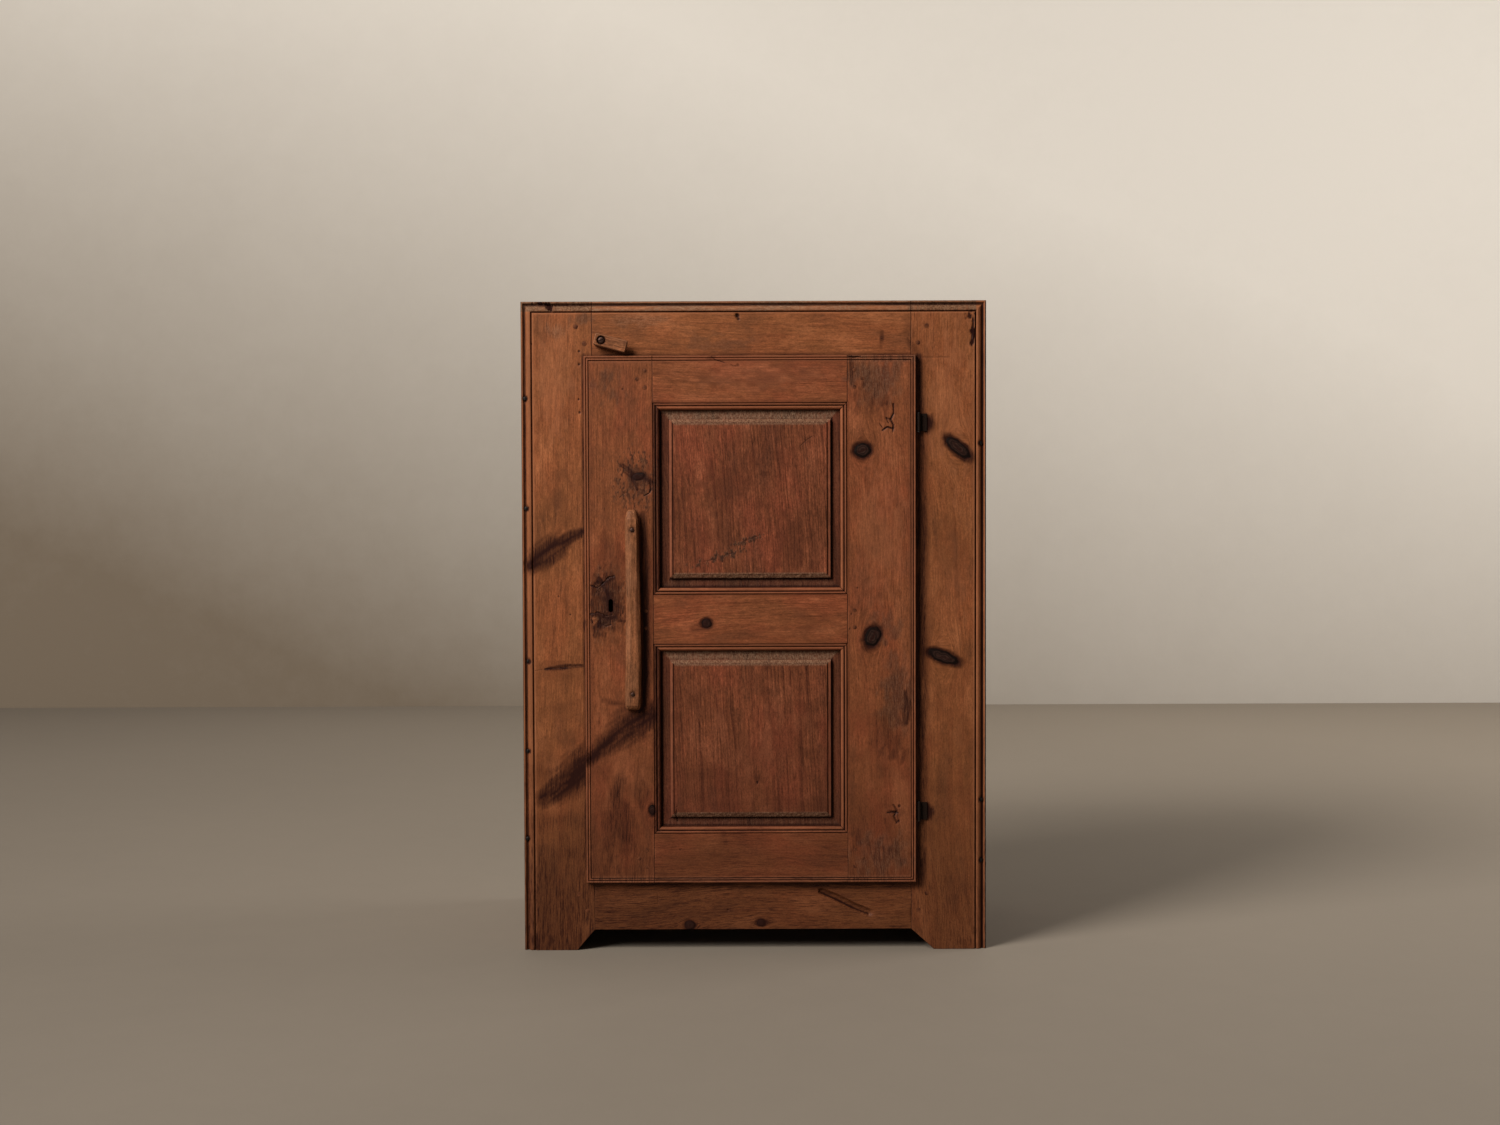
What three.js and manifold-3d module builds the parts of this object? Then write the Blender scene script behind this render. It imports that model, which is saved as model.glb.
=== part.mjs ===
// Jelly cupboard: a small free-standing pine cupboard with one lipped, two-panel door.
// Millimetres. X to the right, Y into the cupboard, Z up. While the pieces are made, the face of the
// frame is the plane y = 0; at the end all are moved so that the origin is under the middle.
import * as THREE from 'three';
import Module from 'manifold-3d';

const wasm = await Module();
wasm.setup();

// Overall case
const caseWidth = 714;
const caseHeight = 1000;
const caseDepth = 380;

// Face frame: two stiles that stand on the floor, two rails tenoned between them
const frameThick = 21;
const leftStileWidth = 109;
const rightStileWidth = 116;
const topRailWidth = 94;
const bottomRailWidth = 84;
const footHeight = 32;
const leftFootCut = 27;
const rightFootCut = 35;
const frameTenonLength = 62;
const frameTenonThick = 8;
const frameTenonSetback = 6;
const frameTenonShoulder = 20;

// Moulding worked on the outer edges of the frame: small bead, hollow, round and quirk
const frameMouldWidth = 17.5;
const frameMouldDepth = 6;
const frameMouldShares = [
  [0, 1], [0.04, 0.66], [0.11, 0.5], [0.19, 0.54], [0.25, 0.82], [0.31, 0.88], [0.4, 0.7],
  [0.5, 0.4], [0.6, 0.2], [0.7, 0.1], [0.79, 0.09], [0.86, 0.22], [0.9, 0.5], [1, 0],
];

// Carcase boards behind the frame
const sideThick = 18;
const topThick = 18;
const floorThick = 18;
const shelfThick = 16;
const lowerShelfTop = 400;
const upperShelfTop = 690;
const shelfSetback = 4;
const shelfShoulder = 3;
const housingDepth = 6;
const backThick = 12;
const backRebateWidth = 10;
const backLift = 30;
const backBoardCount = 4;
const backLap = 8;
const backBoardGap = 0.8;

// Door: stiles, rails and panels, with a lip that covers the edge of the frame opening
const doorThick = 22;
const doorProud = 10;
const lipBackGap = 0.5;
const lockLip = 12;
const hingeLip = 7;
const topLip = 10;
const bottomLip = 10;
const doorClearance = 2.5;
const doorStileWidth = 105;
const doorTopRailWidth = 72;
const doorMiddleRailWidth = 75;
const doorBottomRailWidth = 76;
const lowerOpeningHeight = 293;
const doorTenonLength = 50;
const doorTenonThick = 7;
const doorTenonSetback = 7.5;
const doorTenonShoulder = 14;

// Twin bead worked round the outer edge of the door
const edgeBeadWidth = 8.6;
const edgeBeadDepth = 2.4;
const edgeBeadShares = [
  [0, 1], [0.05, 0.5], [0.16, 0.22], [0.3, 0.22], [0.4, 0.46], [0.46, 0.8], [0.53, 0.42],
  [0.64, 0.2], [0.76, 0.22], [0.85, 0.5], [0.91, 0.86], [1, 0],
];

// Moulding worked on the inner edges of the door frame, with the groove that holds the panels
const stickWidth = 11.5;
const stickDepth = 5.5;
const stickShares = [
  [0, 0], [0.05, 0.36], [0.11, 0.2], [0.22, 0.1], [0.34, 0.2], [0.43, 0.5], [0.52, 0.3],
  [0.65, 0.22], [0.79, 0.34], [0.9, 0.62], [1, 1],
];
const stickRoot = 1;
const grooveFront = 8;
const grooveWidth = 6.6;
const grooveDepth = 10;

// Raised panels
const panelPlay = 1.5;
const panelTongueThick = 6;
const panelStepInset = 21.5;
const panelStepHeight = 4.6;
const panelBevelWidth = 8;
const panelBevelHeight = 2.4;

// Keyhole slot through the lock stile
const keyholeFromEdge = 40;
const keyholeHeight = 534;
const keyholeWidth = 7;
const keyholeLength = 20;

// Pegs through the mortise and tenon joints
const framePegRadius = 3.6;
const framePegNear = 11;
const framePegFar = 24;
const framePegSpread = 13;
const doorPegRadius = 3;
const doorPegNear = 11;
const doorPegFar = 23;
const doorPegSpread = 13;
const pegProud = 0.4;

// Handle: a whittled upright bar nailed to the lock stile
const handleFromEdge = 74;
const handleLow = 375;
const handleHigh = 681;
const handleWidth = 25;
const handleProud = 16;
const handleSectionShares = [
  [0, 0.84, 0.62], [0.012, 0.96, 0.84], [0.05, 1, 0.96], [0.3, 0.98, 1], [0.6, 0.9, 1],
  [0.86, 0.86, 0.97], [0.95, 0.82, 0.9], [0.982, 0.68, 0.74], [1, 0.4, 0.46],
];
const handleOutlineShares = [
  [-0.5, 0], [-0.5, 0.52], [-0.44, 0.76], [-0.3, 0.94], [-0.12, 1], [0.12, 1], [0.3, 0.94],
  [0.44, 0.76], [0.5, 0.52], [0.5, 0],
];
const handleNailInsetLow = 24;
const handleNailInsetHigh = 31;
const nailRadius = 1.8;
const nailHeadRadius = 3;
const nailHeadThick = 1.2;
const nailSink = 0.6;
const nailBite = 14;

// Turn button: a stepped block on a screw in the top rail. Its thin end rides over the door.
const buttonFromStile = 16;
const buttonAboveOpening = 33;
const buttonLength = 51.5;
const buttonWidth = 19;
const buttonProud = 16;
const buttonHeadEnd = 11.3;
const buttonStepFrom = 18;
const buttonChamfer = 1.6;
const buttonCorner = 3;
const buttonFaceGap = 0.3;
const buttonDoorGap = 1;
const buttonRestAngle = 75;
const screwHeadRadius = 5;
const screwHeadThick = 2.6;
const screwCrownShare = 0.55;
const screwShankRadius = 2.4;
const screwSlotWidth = 1.1;
const screwSlotDepth = 1.1;
const screwBite = 16;
const counterboreRadius = 6.6;
const counterboreDepth = 3.4;

// Hinges: small iron butts, one leaf on the frame face, the other let in behind the lip of the door
const hingeInsetTop = 103;
const hingeInsetBottom = 109;
const hingeLength = 27;
const hingeLeafThick = 1.6;
const hingeLeafReach = 12.5;
const hingeFlangeDepth = 11;
const hingeKnuckleRadius = 3.2;
const hingePinRadius = 1.6;
const hingePinHeadRadius = 2.5;
const hingePinHeadThick = 1.2;
const hingeEdgeGap = 1.4;
const hingeKnuckleCount = 3;

// Fits
const jointGap = 0.15;
const seatGap = 0.1;
const fitGap = 0.3;
const mitreLap = 0.05;
const overrun = 3;
const roundSides = 16;

// Places that follow from the sizes above
const caseLeft = -caseWidth / 2;
const caseRight = caseWidth / 2;
const openingLeft = caseLeft + leftStileWidth;
const openingRight = caseRight - rightStileWidth;
const openingBottom = footHeight + bottomRailWidth;
const openingTop = caseHeight - topRailWidth;
const sideTop = caseHeight - topThick - seatGap;
const sideInnerLeft = caseLeft + sideThick;
const sideInnerRight = caseRight - sideThick;
const boardFront = frameThick + seatGap;
const backFront = caseDepth - backThick;
const doorLeft = openingLeft - lockLip;
const doorRight = openingRight + hingeLip;
const doorBottom = openingBottom - bottomLip;
const doorTop = openingTop + topLip;
const doorFront = -doorProud;
const doorBack = doorFront + doorThick;
const lipBack = -lipBackGap;
const doorRailLeft = doorLeft + doorStileWidth;
const doorRailRight = doorRight - doorStileWidth;
const bottomRailTop = doorBottom + doorBottomRailWidth;
const middleRailBottom = bottomRailTop + lowerOpeningHeight;
const middleRailTop = middleRailBottom + doorMiddleRailWidth;
const topRailBottom = doorTop - doorTopRailWidth;
const buttonX = openingLeft + buttonFromStile;
const buttonZ = openingTop + buttonAboveOpening;
const hingeAxisX = doorRight + hingeEdgeGap + hingeKnuckleRadius;
const hingeAxisY = lipBack - hingeKnuckleRadius;
const hingeHeights = { upper: doorTop - hingeInsetTop, lower: doorBottom + hingeInsetBottom };
const frontMost = doorFront - handleProud;
const middleY = (frontMost + caseDepth) / 2;

const finishes = {
  frame: { color: 0x86502f, roughness: 0.62, metalness: 0 },
  door: { color: 0x7f492e, roughness: 0.6, metalness: 0 },
  panel: { color: 0x6f3f2a, roughness: 0.6, metalness: 0 },
  carcase: { color: 0x8a623f, roughness: 0.75, metalness: 0 },
  handle: { color: 0x8f5c3a, roughness: 0.55, metalness: 0 },
  peg: { color: 0x4a2a1a, roughness: 0.7, metalness: 0 },
  iron: { color: 0x3c3733, roughness: 0.55, metalness: 0.8 },
};

/** A closed solid from points and triangles, turned right side out if it was built inside out. */
function closedSolid(points, faces) {
  let volume = 0;
  for (const [a, b, c] of faces) {
    const [p, q, r] = [a, b, c].map((i) => new THREE.Vector3(...points[i]));
    volume += p.dot(q.cross(r));
  }
  const outward = volume < 0 ? faces.map(([a, b, c]) => [a, c, b]) : faces;
  return new wasm.Manifold(new wasm.Mesh({
    numProp: 3,
    vertProperties: new Float32Array(points.flat()),
    triVerts: new Uint32Array(outward.flat()),
  }));
}

/** Rings of matching points joined one to the next, the two ends closed by the flat outline. */
function loft(rings, outline) {
  const count = outline.length;
  const faces = [];
  for (let ring = 0; ring + 1 < rings.length; ring += 1) {
    for (let i = 0; i < count; i += 1) {
      const j = (i + 1) % count;
      const [a, b] = [ring * count + i, ring * count + j];
      faces.push([a, b, b + count], [a, b + count, a + count]);
    }
  }
  const contour = outline.map(([u, v]) => new THREE.Vector2(u, v));
  const winding = Math.sign(THREE.ShapeUtils.area(contour));
  const last = (rings.length - 1) * count;
  for (const face of THREE.ShapeUtils.triangulateShape(contour, [])) {
    const same = Math.sign(THREE.ShapeUtils.area(face.map((i) => contour[i]))) === winding;
    const [a, b, c] = same ? face : [...face].reverse();
    faces.push([c, b, a], [last + a, last + b, last + c]);
  }
  return closedSolid(rings.flat(), faces);
}

/** An outline (u, v) run along w. Each end is cut off at w plus a slope times u, for mitres. */
function bar(outline, start, end, place, startSlope = 0, endSlope = 0) {
  const ring = (w, slope) => outline.map(([u, v]) => place(u, v, w + slope * u));
  return loft([ring(start, startSlope), ring(end, endSlope)], outline);
}

/** A rectangular block between two opposite corners. */
function block([x0, y0, z0], [x1, y1, z1]) {
  return bar([[x0, y0], [x1, y0], [x1, y1], [x0, y1]], z0, z1, (x, y, z) => [x, y, z]);
}

/** A solid turned about w: a list of [radius, w], each pair joined to the next. */
function turned(profile, place) {
  const circle = Array.from({ length: roundSides }, (_, i) => {
    const angle = (2 * Math.PI * i) / roundSides;
    return [Math.cos(angle), Math.sin(angle)];
  });
  const rings = profile.map(([radius, w]) => circle.map(([c, s]) => place(radius * c, radius * s, w)));
  return loft(rings, circle);
}

/** A round rod or drill cut along Y, at (x, z). */
function rodAlongY(radius, x, z, y0, y1) {
  return turned([[radius, y0], [radius, y1]], (u, v, w) => [x + u, w, z + v]);
}

/** The outline of the wood that a moulding plane takes off, u from the edge and v below the face. */
function wasteOutline(shares, width, depth) {
  const cut = shares.map(([u, v]) => [u * width, v * depth]);
  return [...cut, [width, -overrun], [-overrun, -overrun], [-overrun, depth]];
}

/** All the solids in a list joined to the first. */
function join(first, ...others) {
  return others.reduce((whole, piece) => whole.add(piece), first);
}

/** All the solids in a list cut from the first. */
function cut(first, ...others) {
  return others.reduce((whole, piece) => whole.subtract(piece), first);
}

const group = new THREE.Group();
group.name = 'jelly_cupboard';

/** Adds one finished piece, seated on the shared origin. */
function addPiece(name, solid, finish) {
  const raw = solid.getMesh();
  const indexed = new THREE.BufferGeometry();
  indexed.setAttribute('position', new THREE.BufferAttribute(new Float32Array(raw.vertProperties), 3));
  indexed.setIndex(new THREE.BufferAttribute(new Uint32Array(raw.triVerts), 1));
  const geometry = indexed.toNonIndexed().translate(0, -middleY, 0);
  geometry.computeVertexNormals();
  const mesh = new THREE.Mesh(geometry, new THREE.MeshStandardMaterial(finishes[finish]));
  mesh.name = name;
  group.add(mesh);
}

/** Centres of the pegs of one joint: distance into the stile and height. */
function framePegPlaces(middle) {
  return [[framePegFar, middle + framePegSpread], [framePegNear, middle - framePegSpread]];
}

function cornerPegPlaces(middle) {
  return [
    [doorPegNear, middle + doorPegSpread], [doorPegFar, middle], [doorPegNear, middle - doorPegSpread],
  ];
}

function middlePegPlaces(middle) {
  return [[doorPegNear, middle + doorPegSpread], [doorPegNear, middle - doorPegSpread]];
}

// Joints of the face frame: the rail's height and the height of its tenon
const frameRails = {
  top: {
    low: openingTop, high: caseHeight,
    tenonLow: openingTop + frameTenonShoulder / 2, tenonHigh: caseHeight - frameTenonShoulder,
  },
  bottom: {
    low: footHeight, high: openingBottom,
    tenonLow: footHeight + frameTenonShoulder / 2, tenonHigh: openingBottom - frameTenonShoulder / 2,
  },
};

/** A tenon or its mortise between two heights: play widens it all round. */
function frameTenon(joint, side, play) {
  const shoulder = side < 0 ? openingLeft : openingRight;
  const tip = shoulder + side * (frameTenonLength + play);
  const root = shoulder - side * overrun;
  return block(
    [root, frameTenonSetback - play, joint.tenonLow - play],
    [tip, frameTenonSetback + frameTenonThick + play, joint.tenonHigh + play],
  );
}

/** Peg holes or pegs of one joint of the face frame. */
function framePegHoles(joint, side) {
  const shoulder = side < 0 ? openingLeft : openingRight;
  const middle = (joint.tenonLow + joint.tenonHigh) / 2;
  return framePegPlaces(middle).map(([into, z]) => rodAlongY(
    framePegRadius + fitGap, shoulder + side * into, z, -overrun, frameThick + overrun,
  ));
}

/** A stile of the face frame: moulded outside and at its top, mortised, with a cut-away foot. */
function frameStile(side, width, footCut) {
  const outer = side < 0 ? caseLeft : caseRight;
  const inner = outer - side * width;
  const waste = wasteOutline(frameMouldShares, frameMouldWidth, frameMouldDepth);
  const edge = bar(waste, -overrun, caseHeight, (u, v, w) => [outer - side * u, v, w], 0, -1);
  const across = bar(
    waste, -mitreLap, width + overrun, (u, v, w) => [outer - side * w, v, caseHeight - u], 1, 0,
  );
  const foot = bar(
    [[0, footHeight], [footCut, 0], [footCut, -overrun], [-overrun, -overrun], [-overrun, footHeight]],
    -overrun, frameThick + overrun, (u, v, w) => [inner + side * u, w, v],
  );
  const joints = Object.values(frameRails);
  return cut(
    block([outer, 0, 0], [inner, frameThick, caseHeight]),
    edge, across, foot,
    ...joints.map((joint) => frameTenon(joint, side, fitGap)),
    ...joints.flatMap((joint) => framePegHoles(joint, side)),
  );
}

/** A rail of the face frame, tenoned at both ends. The top one is moulded and holds the button's screw. */
function frameRail(joint, moulded) {
  const body = block(
    [openingLeft + jointGap, 0, joint.low], [openingRight - jointGap, frameThick, joint.high],
  );
  const waste = wasteOutline(frameMouldShares, frameMouldWidth, frameMouldDepth);
  const mould = bar(
    waste, openingLeft - overrun, openingRight + overrun, (u, v, w) => [w, v, joint.high - u],
  );
  const shaped = moulded ? cut(body, mould) : body;
  const whole = join(shaped, frameTenon(joint, -1, 0), frameTenon(joint, 1, 0));
  const pilot = rodAlongY(screwShankRadius + fitGap, buttonX, buttonZ, -overrun, screwBite + fitGap);
  return cut(whole, pilot, ...framePegHoles(joint, -1), ...framePegHoles(joint, 1));
}

/** A side board with housings for the tongues of the floor and shelves and a rebate for the back. */
function sideBoard(side) {
  const outer = side < 0 ? caseLeft : caseRight;
  const inner = outer - side * sideThick;
  const housings = [[openingBottom, floorThick], [lowerShelfTop, shelfThick], [upperShelfTop, shelfThick]];
  return cut(
    block([outer, boardFront, 0], [inner, caseDepth, sideTop]),
    block(
      [inner + side * backRebateWidth, backFront - seatGap, -overrun],
      [inner - side * overrun, caseDepth + overrun, sideTop + overrun],
    ),
    ...housings.map(([top, thick]) => block(
      [inner + side * housingDepth, boardFront - overrun, top - thick],
      [inner - side * overrun, caseDepth + overrun, top - shelfShoulder + fitGap],
    )),
  );
}

/** A shelf or the case floor. A tongue at each end, lower than its top face, goes into the side. */
function shelf(top, thick, front) {
  const reach = housingDepth - fitGap;
  const [bottom, back] = [top - thick + seatGap, backFront - fitGap];
  return join(
    block([sideInnerLeft + fitGap, front, bottom], [sideInnerRight - fitGap, back, top]),
    block([sideInnerLeft - reach, front, bottom], [sideInnerRight + reach, back, top - shelfShoulder]),
  );
}

/** One upright board of the back, half-lapped over its neighbours. */
function backBoard(index) {
  const left = sideInnerLeft - backRebateWidth + fitGap;
  const right = sideInnerRight + backRebateWidth - fitGap;
  const pitch = (right - left) / backBoardCount;
  const first = index === 0;
  const last = index === backBoardCount - 1;
  const x0 = left + index * pitch;
  const x1 = x0 + pitch - (last ? 0 : backBoardGap);
  const lapMiddle = backFront + backThick / 2;
  const lapLeft = first ? x0 : x0 + backLap;
  const lapRight = last ? x1 : x1 + backLap;
  const outline = [
    [lapLeft, backFront], [lapRight, backFront], [lapRight, lapMiddle - seatGap],
    [x1, lapMiddle - seatGap], [x1, caseDepth], [x0, caseDepth], [x0, lapMiddle], [lapLeft, lapMiddle],
  ].filter(([x, y], i, all) => all.findIndex((p) => p[0] === x && p[1] === y) === i);
  return bar(outline, backLift, sideTop, (x, y, z) => [x, y, z]);
}

/** The two boards of the top, laid across the sides behind the frame. */
function topBoard(back) {
  const middle = (frameThick + caseDepth) / 2;
  const y0 = back ? middle + jointGap : boardFront;
  const y1 = back ? caseDepth : middle - jointGap;
  return block([caseLeft, y0, caseHeight - topThick], [caseRight, y1, caseHeight]);
}

/** The outline (u, depth) of the worked inner edge of the door frame, with its panel groove. */
function stickOutline() {
  return [
    [-stickRoot, 0], ...stickShares.map(([u, v]) => [u * stickWidth, v * stickDepth]),
    [stickWidth, grooveFront], [stickWidth - grooveDepth, grooveFront],
    [stickWidth - grooveDepth, grooveFront + grooveWidth], [stickWidth, grooveFront + grooveWidth],
    [stickWidth, doorThick], [-stickRoot, doorThick],
  ];
}

/** A length of that edge with both ends mitred, where place() says. */
function stickLength(start, end, place) {
  const inset = (w, slope) => stickOutline().map(([u, v]) => place(u, v, w + slope * Math.max(u, 0)));
  return loft([inset(start + jointGap, 1), inset(end - jointGap, -1)], stickOutline());
}

// Rails of the door: heights, which edges are lipped and which carry a panel
const doorRails = {
  top: { low: topRailBottom, high: doorTop, lipAbove: true, panelBelow: true, pegs: cornerPegPlaces },
  middle: {
    low: middleRailBottom, high: middleRailTop, panelAbove: true, panelBelow: true, pegs: middlePegPlaces,
  },
  bottom: { low: doorBottom, high: bottomRailTop, lipBelow: true, panelAbove: true, pegs: cornerPegPlaces },
};
const panelOpenings = {
  upper: { low: middleRailTop, high: topRailBottom },
  lower: { low: bottomRailTop, high: middleRailBottom },
};

/** A tenon of a door rail, or its mortise when play is not zero. */
function doorTenon(rail, side, play) {
  const shoulder = side < 0 ? doorRailLeft : doorRailRight;
  const front = doorFront + doorTenonSetback;
  return block(
    [shoulder - side * overrun, front - play, rail.low + doorTenonShoulder - play],
    [
      shoulder + side * (doorTenonLength + play), front + doorTenonThick + play,
      rail.high - doorTenonShoulder + play,
    ],
  );
}

/** Peg holes of one joint of the door. */
function doorPegHoles(rail, side) {
  const shoulder = side < 0 ? doorRailLeft : doorRailRight;
  return rail.pegs((rail.low + rail.high) / 2).map(([into, z]) => rodAlongY(
    doorPegRadius + fitGap, shoulder + side * into, z, doorFront - overrun, doorBack + overrun,
  ));
}

/** The strips cut off behind the lip, all round the door. */
function lipRebates() {
  const inside = {
    left: openingLeft + doorClearance, right: openingRight - doorClearance,
    low: openingBottom + doorClearance, high: openingTop - doorClearance,
  };
  const [y0, y1] = [lipBack, doorBack + overrun];
  const [xl, xr] = [doorLeft - overrun, doorRight + overrun];
  const [zl, zh] = [doorBottom - overrun, doorTop + overrun];
  return [
    block([xl, y0, zl], [inside.left, y1, zh]), block([inside.right, y0, zl], [xr, y1, zh]),
    block([xl, y0, zl], [xr, y1, inside.low]), block([xl, y0, inside.high], [xr, y1, zh]),
  ];
}

/** The waste of the twin bead on the four outer edges of the door, mitred at the corners. */
function edgeBeads() {
  const waste = wasteOutline(edgeBeadShares, edgeBeadWidth, edgeBeadDepth);
  const upright = (edge, side) => bar(
    waste, doorBottom, doorTop, (u, v, w) => [edge - side * u, doorFront + v, w], 1, -1,
  );
  const level = (edge, side) => bar(
    waste, doorLeft - mitreLap, doorRight + mitreLap, (u, v, w) => [w, doorFront + v, edge - side * u], 1, -1,
  );
  return [upright(doorLeft, -1), upright(doorRight, 1), level(doorBottom, -1), level(doorTop, 1)];
}

/** Recess behind the lip for the door leaf of a hinge. */
function hingeRecess(middle) {
  const tongueSide = openingRight - doorClearance;
  const [z0, z1] = [middle - hingeLength / 2 - fitGap, middle + hingeLength / 2 + fitGap];
  const deep = tongueSide - hingeLeafThick - fitGap;
  const leafFront = lipBack - hingeLeafThick - fitGap;
  return join(
    block([deep, leafFront, z0], [doorRight + overrun, lipBack + overrun, z1]),
    block([deep, leafFront, z0], [tongueSide + overrun, lipBack + hingeFlangeDepth + fitGap, z1]),
  );
}

/** The keyhole slot, rounded above and below. */
function keyhole() {
  const x = doorLeft + keyholeFromEdge;
  const radius = keyholeWidth / 2;
  const half = keyholeLength / 2 - radius;
  const [y0, y1] = [doorFront - overrun, doorBack + overrun];
  return join(
    block([x - radius, y0, keyholeHeight - half], [x + radius, y1, keyholeHeight + half]),
    rodAlongY(radius, x, keyholeHeight - half, y0, y1), rodAlongY(radius, x, keyholeHeight + half, y0, y1),
  );
}

const handleX = doorLeft + handleFromEdge;
const handleNailHeights = { lower: handleLow + handleNailInsetLow, upper: handleHigh - handleNailInsetHigh };

/** A stile of the door: lipped, beaded, mortised and worked along both panels. */
function doorStile(side) {
  const outer = side < 0 ? doorLeft : doorRight;
  const inner = side < 0 ? doorRailLeft : doorRailRight;
  const rails = Object.values(doorRails);
  const worked = Object.values(panelOpenings).map(({ low, high }) => stickLength(
    low, high, (u, v, w) => [inner - side * u, doorFront + v, w],
  ));
  const extras = side < 0
    ? [keyhole(), ...Object.values(handleNailHeights).map((z) => rodAlongY(
      nailRadius + fitGap, handleX, z, doorFront - overrun, doorFront + nailBite + fitGap,
    ))]
    : Object.values(hingeHeights).map(hingeRecess);
  return cut(
    join(block([outer, doorFront, doorBottom], [inner, doorBack, doorTop]), ...worked),
    ...lipRebates(), ...edgeBeads(),
    ...rails.map((rail) => doorTenon(rail, side, fitGap)),
    ...rails.flatMap((rail) => doorPegHoles(rail, side)),
    ...extras,
  );
}

/** A rail of the door, tenoned at both ends and worked along the panels that it carries. */
function doorRail(rail) {
  const body = block(
    [doorRailLeft + jointGap, doorFront, rail.low], [doorRailRight - jointGap, doorBack, rail.high],
  );
  const above = rail.panelAbove
    ? [stickLength(doorRailLeft, doorRailRight, (u, v, w) => [w, doorFront + v, rail.high + u])] : [];
  const below = rail.panelBelow
    ? [stickLength(doorRailLeft, doorRailRight, (u, v, w) => [w, doorFront + v, rail.low - u])] : [];
  const lipped = rail.lipAbove || rail.lipBelow;
  const shaped = lipped ? cut(join(body, ...above, ...below), ...lipRebates(), ...edgeBeads())
    : join(body, ...above, ...below);
  return cut(
    join(shaped, doorTenon(rail, -1, 0), doorTenon(rail, 1, 0)),
    ...doorPegHoles(rail, -1), ...doorPegHoles(rail, 1),
  );
}

/** A raised panel: tongue all round, a step, a bevel and the flat field. */
function raisedPanel({ low, high }) {
  const edge = stickWidth - grooveDepth + panelPlay;
  const tongueFront = doorFront + grooveFront + (grooveWidth - panelTongueThick) / 2;
  const stepFront = tongueFront - panelStepHeight;
  const levels = [
    [edge, tongueFront + panelTongueThick], [edge, tongueFront], [panelStepInset, tongueFront],
    [panelStepInset, stepFront], [panelStepInset + panelBevelWidth, stepFront - panelBevelHeight],
  ];
  const corners = ([inset, y]) => [
    [doorRailLeft + inset, y, low + inset], [doorRailRight - inset, y, low + inset],
    [doorRailRight - inset, y, high - inset], [doorRailLeft + inset, y, high - inset],
  ];
  return loft(levels.map(corners), [[0, 0], [1, 0], [1, 1], [0, 1]]);
}

/** The handle: one whittled outline carried up the bar, narrower to the top and rounded at the ends. */
function handle() {
  const length = handleHigh - handleLow;
  const rings = handleSectionShares.map(([height, width, proud]) => handleOutlineShares.map(([u, v]) => [
    handleX + u * width * handleWidth,
    doorFront - seatGap - v * proud * (handleProud - seatGap),
    handleLow + height * length,
  ]));
  const holes = Object.values(handleNailHeights).flatMap((z) => [
    rodAlongY(nailRadius + fitGap, handleX, z, frontMost - overrun, doorFront + overrun),
    rodAlongY(
      nailHeadRadius + fitGap, handleX, z, frontMost - overrun,
      frontMost + nailSink + nailHeadThick + fitGap,
    ),
  ]);
  return cut(loft(rings, handleOutlineShares), ...holes);
}

/** A nail of the handle, its head sunk a little into the wood. */
function handleNail(z) {
  const front = frontMost + nailSink;
  return turned(
    [[nailHeadRadius, front], [nailHeadRadius, front + nailHeadThick],
      [nailRadius, front + nailHeadThick], [nailRadius, doorFront + nailBite]],
    (u, v, w) => [handleX + u, w, z + v],
  );
}

/** The plan of the button from its pivot, corners cut off, shrunk by inset. */
function buttonPlan(inset) {
  const [s0, s1] = [-buttonHeadEnd + inset, buttonLength - buttonHeadEnd - inset];
  const half = buttonWidth / 2 - inset;
  const corner = buttonCorner;
  return [
    [s0 + corner, -half], [s1 - corner, -half], [s1, corner - half], [s1, half - corner],
    [s1 - corner, half], [s0 + corner, half], [s0, half - corner], [s0, corner - half],
  ];
}

/** Where a point of the button lies: s along it from the pivot, t across it, y through it. */
function buttonPlace(s, t, y) {
  const angle = THREE.MathUtils.degToRad(buttonRestAngle);
  return [
    buttonX + s * Math.sin(angle) + t * Math.cos(angle), y,
    buttonZ - s * Math.cos(angle) + t * Math.sin(angle),
  ];
}

/** The turn button: thick round the screw, stepped so that its end passes over the door. */
function turnButton() {
  const levels = [[0, -buttonFaceGap], [0, buttonChamfer - buttonProud], [buttonChamfer, -buttonProud]];
  const body = loft(
    levels.map(([inset, y]) => buttonPlan(inset).map(([s, t]) => buttonPlace(s, t, y))), buttonPlan(0),
  );
  const under = doorFront - buttonDoorGap;
  const step = bar(
    [
      [buttonStepFrom, -buttonWidth], [buttonLength + overrun, -buttonWidth],
      [buttonLength + overrun, buttonWidth], [buttonStepFrom, buttonWidth],
    ],
    under, overrun, buttonPlace,
  );
  const bore = rodAlongY(screwShankRadius + fitGap, buttonX, buttonZ, -buttonProud - overrun, overrun);
  const counterbore = rodAlongY(
    counterboreRadius, buttonX, buttonZ, -buttonProud - overrun, counterboreDepth - buttonProud,
  );
  return cut(body, step, bore, counterbore);
}

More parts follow.
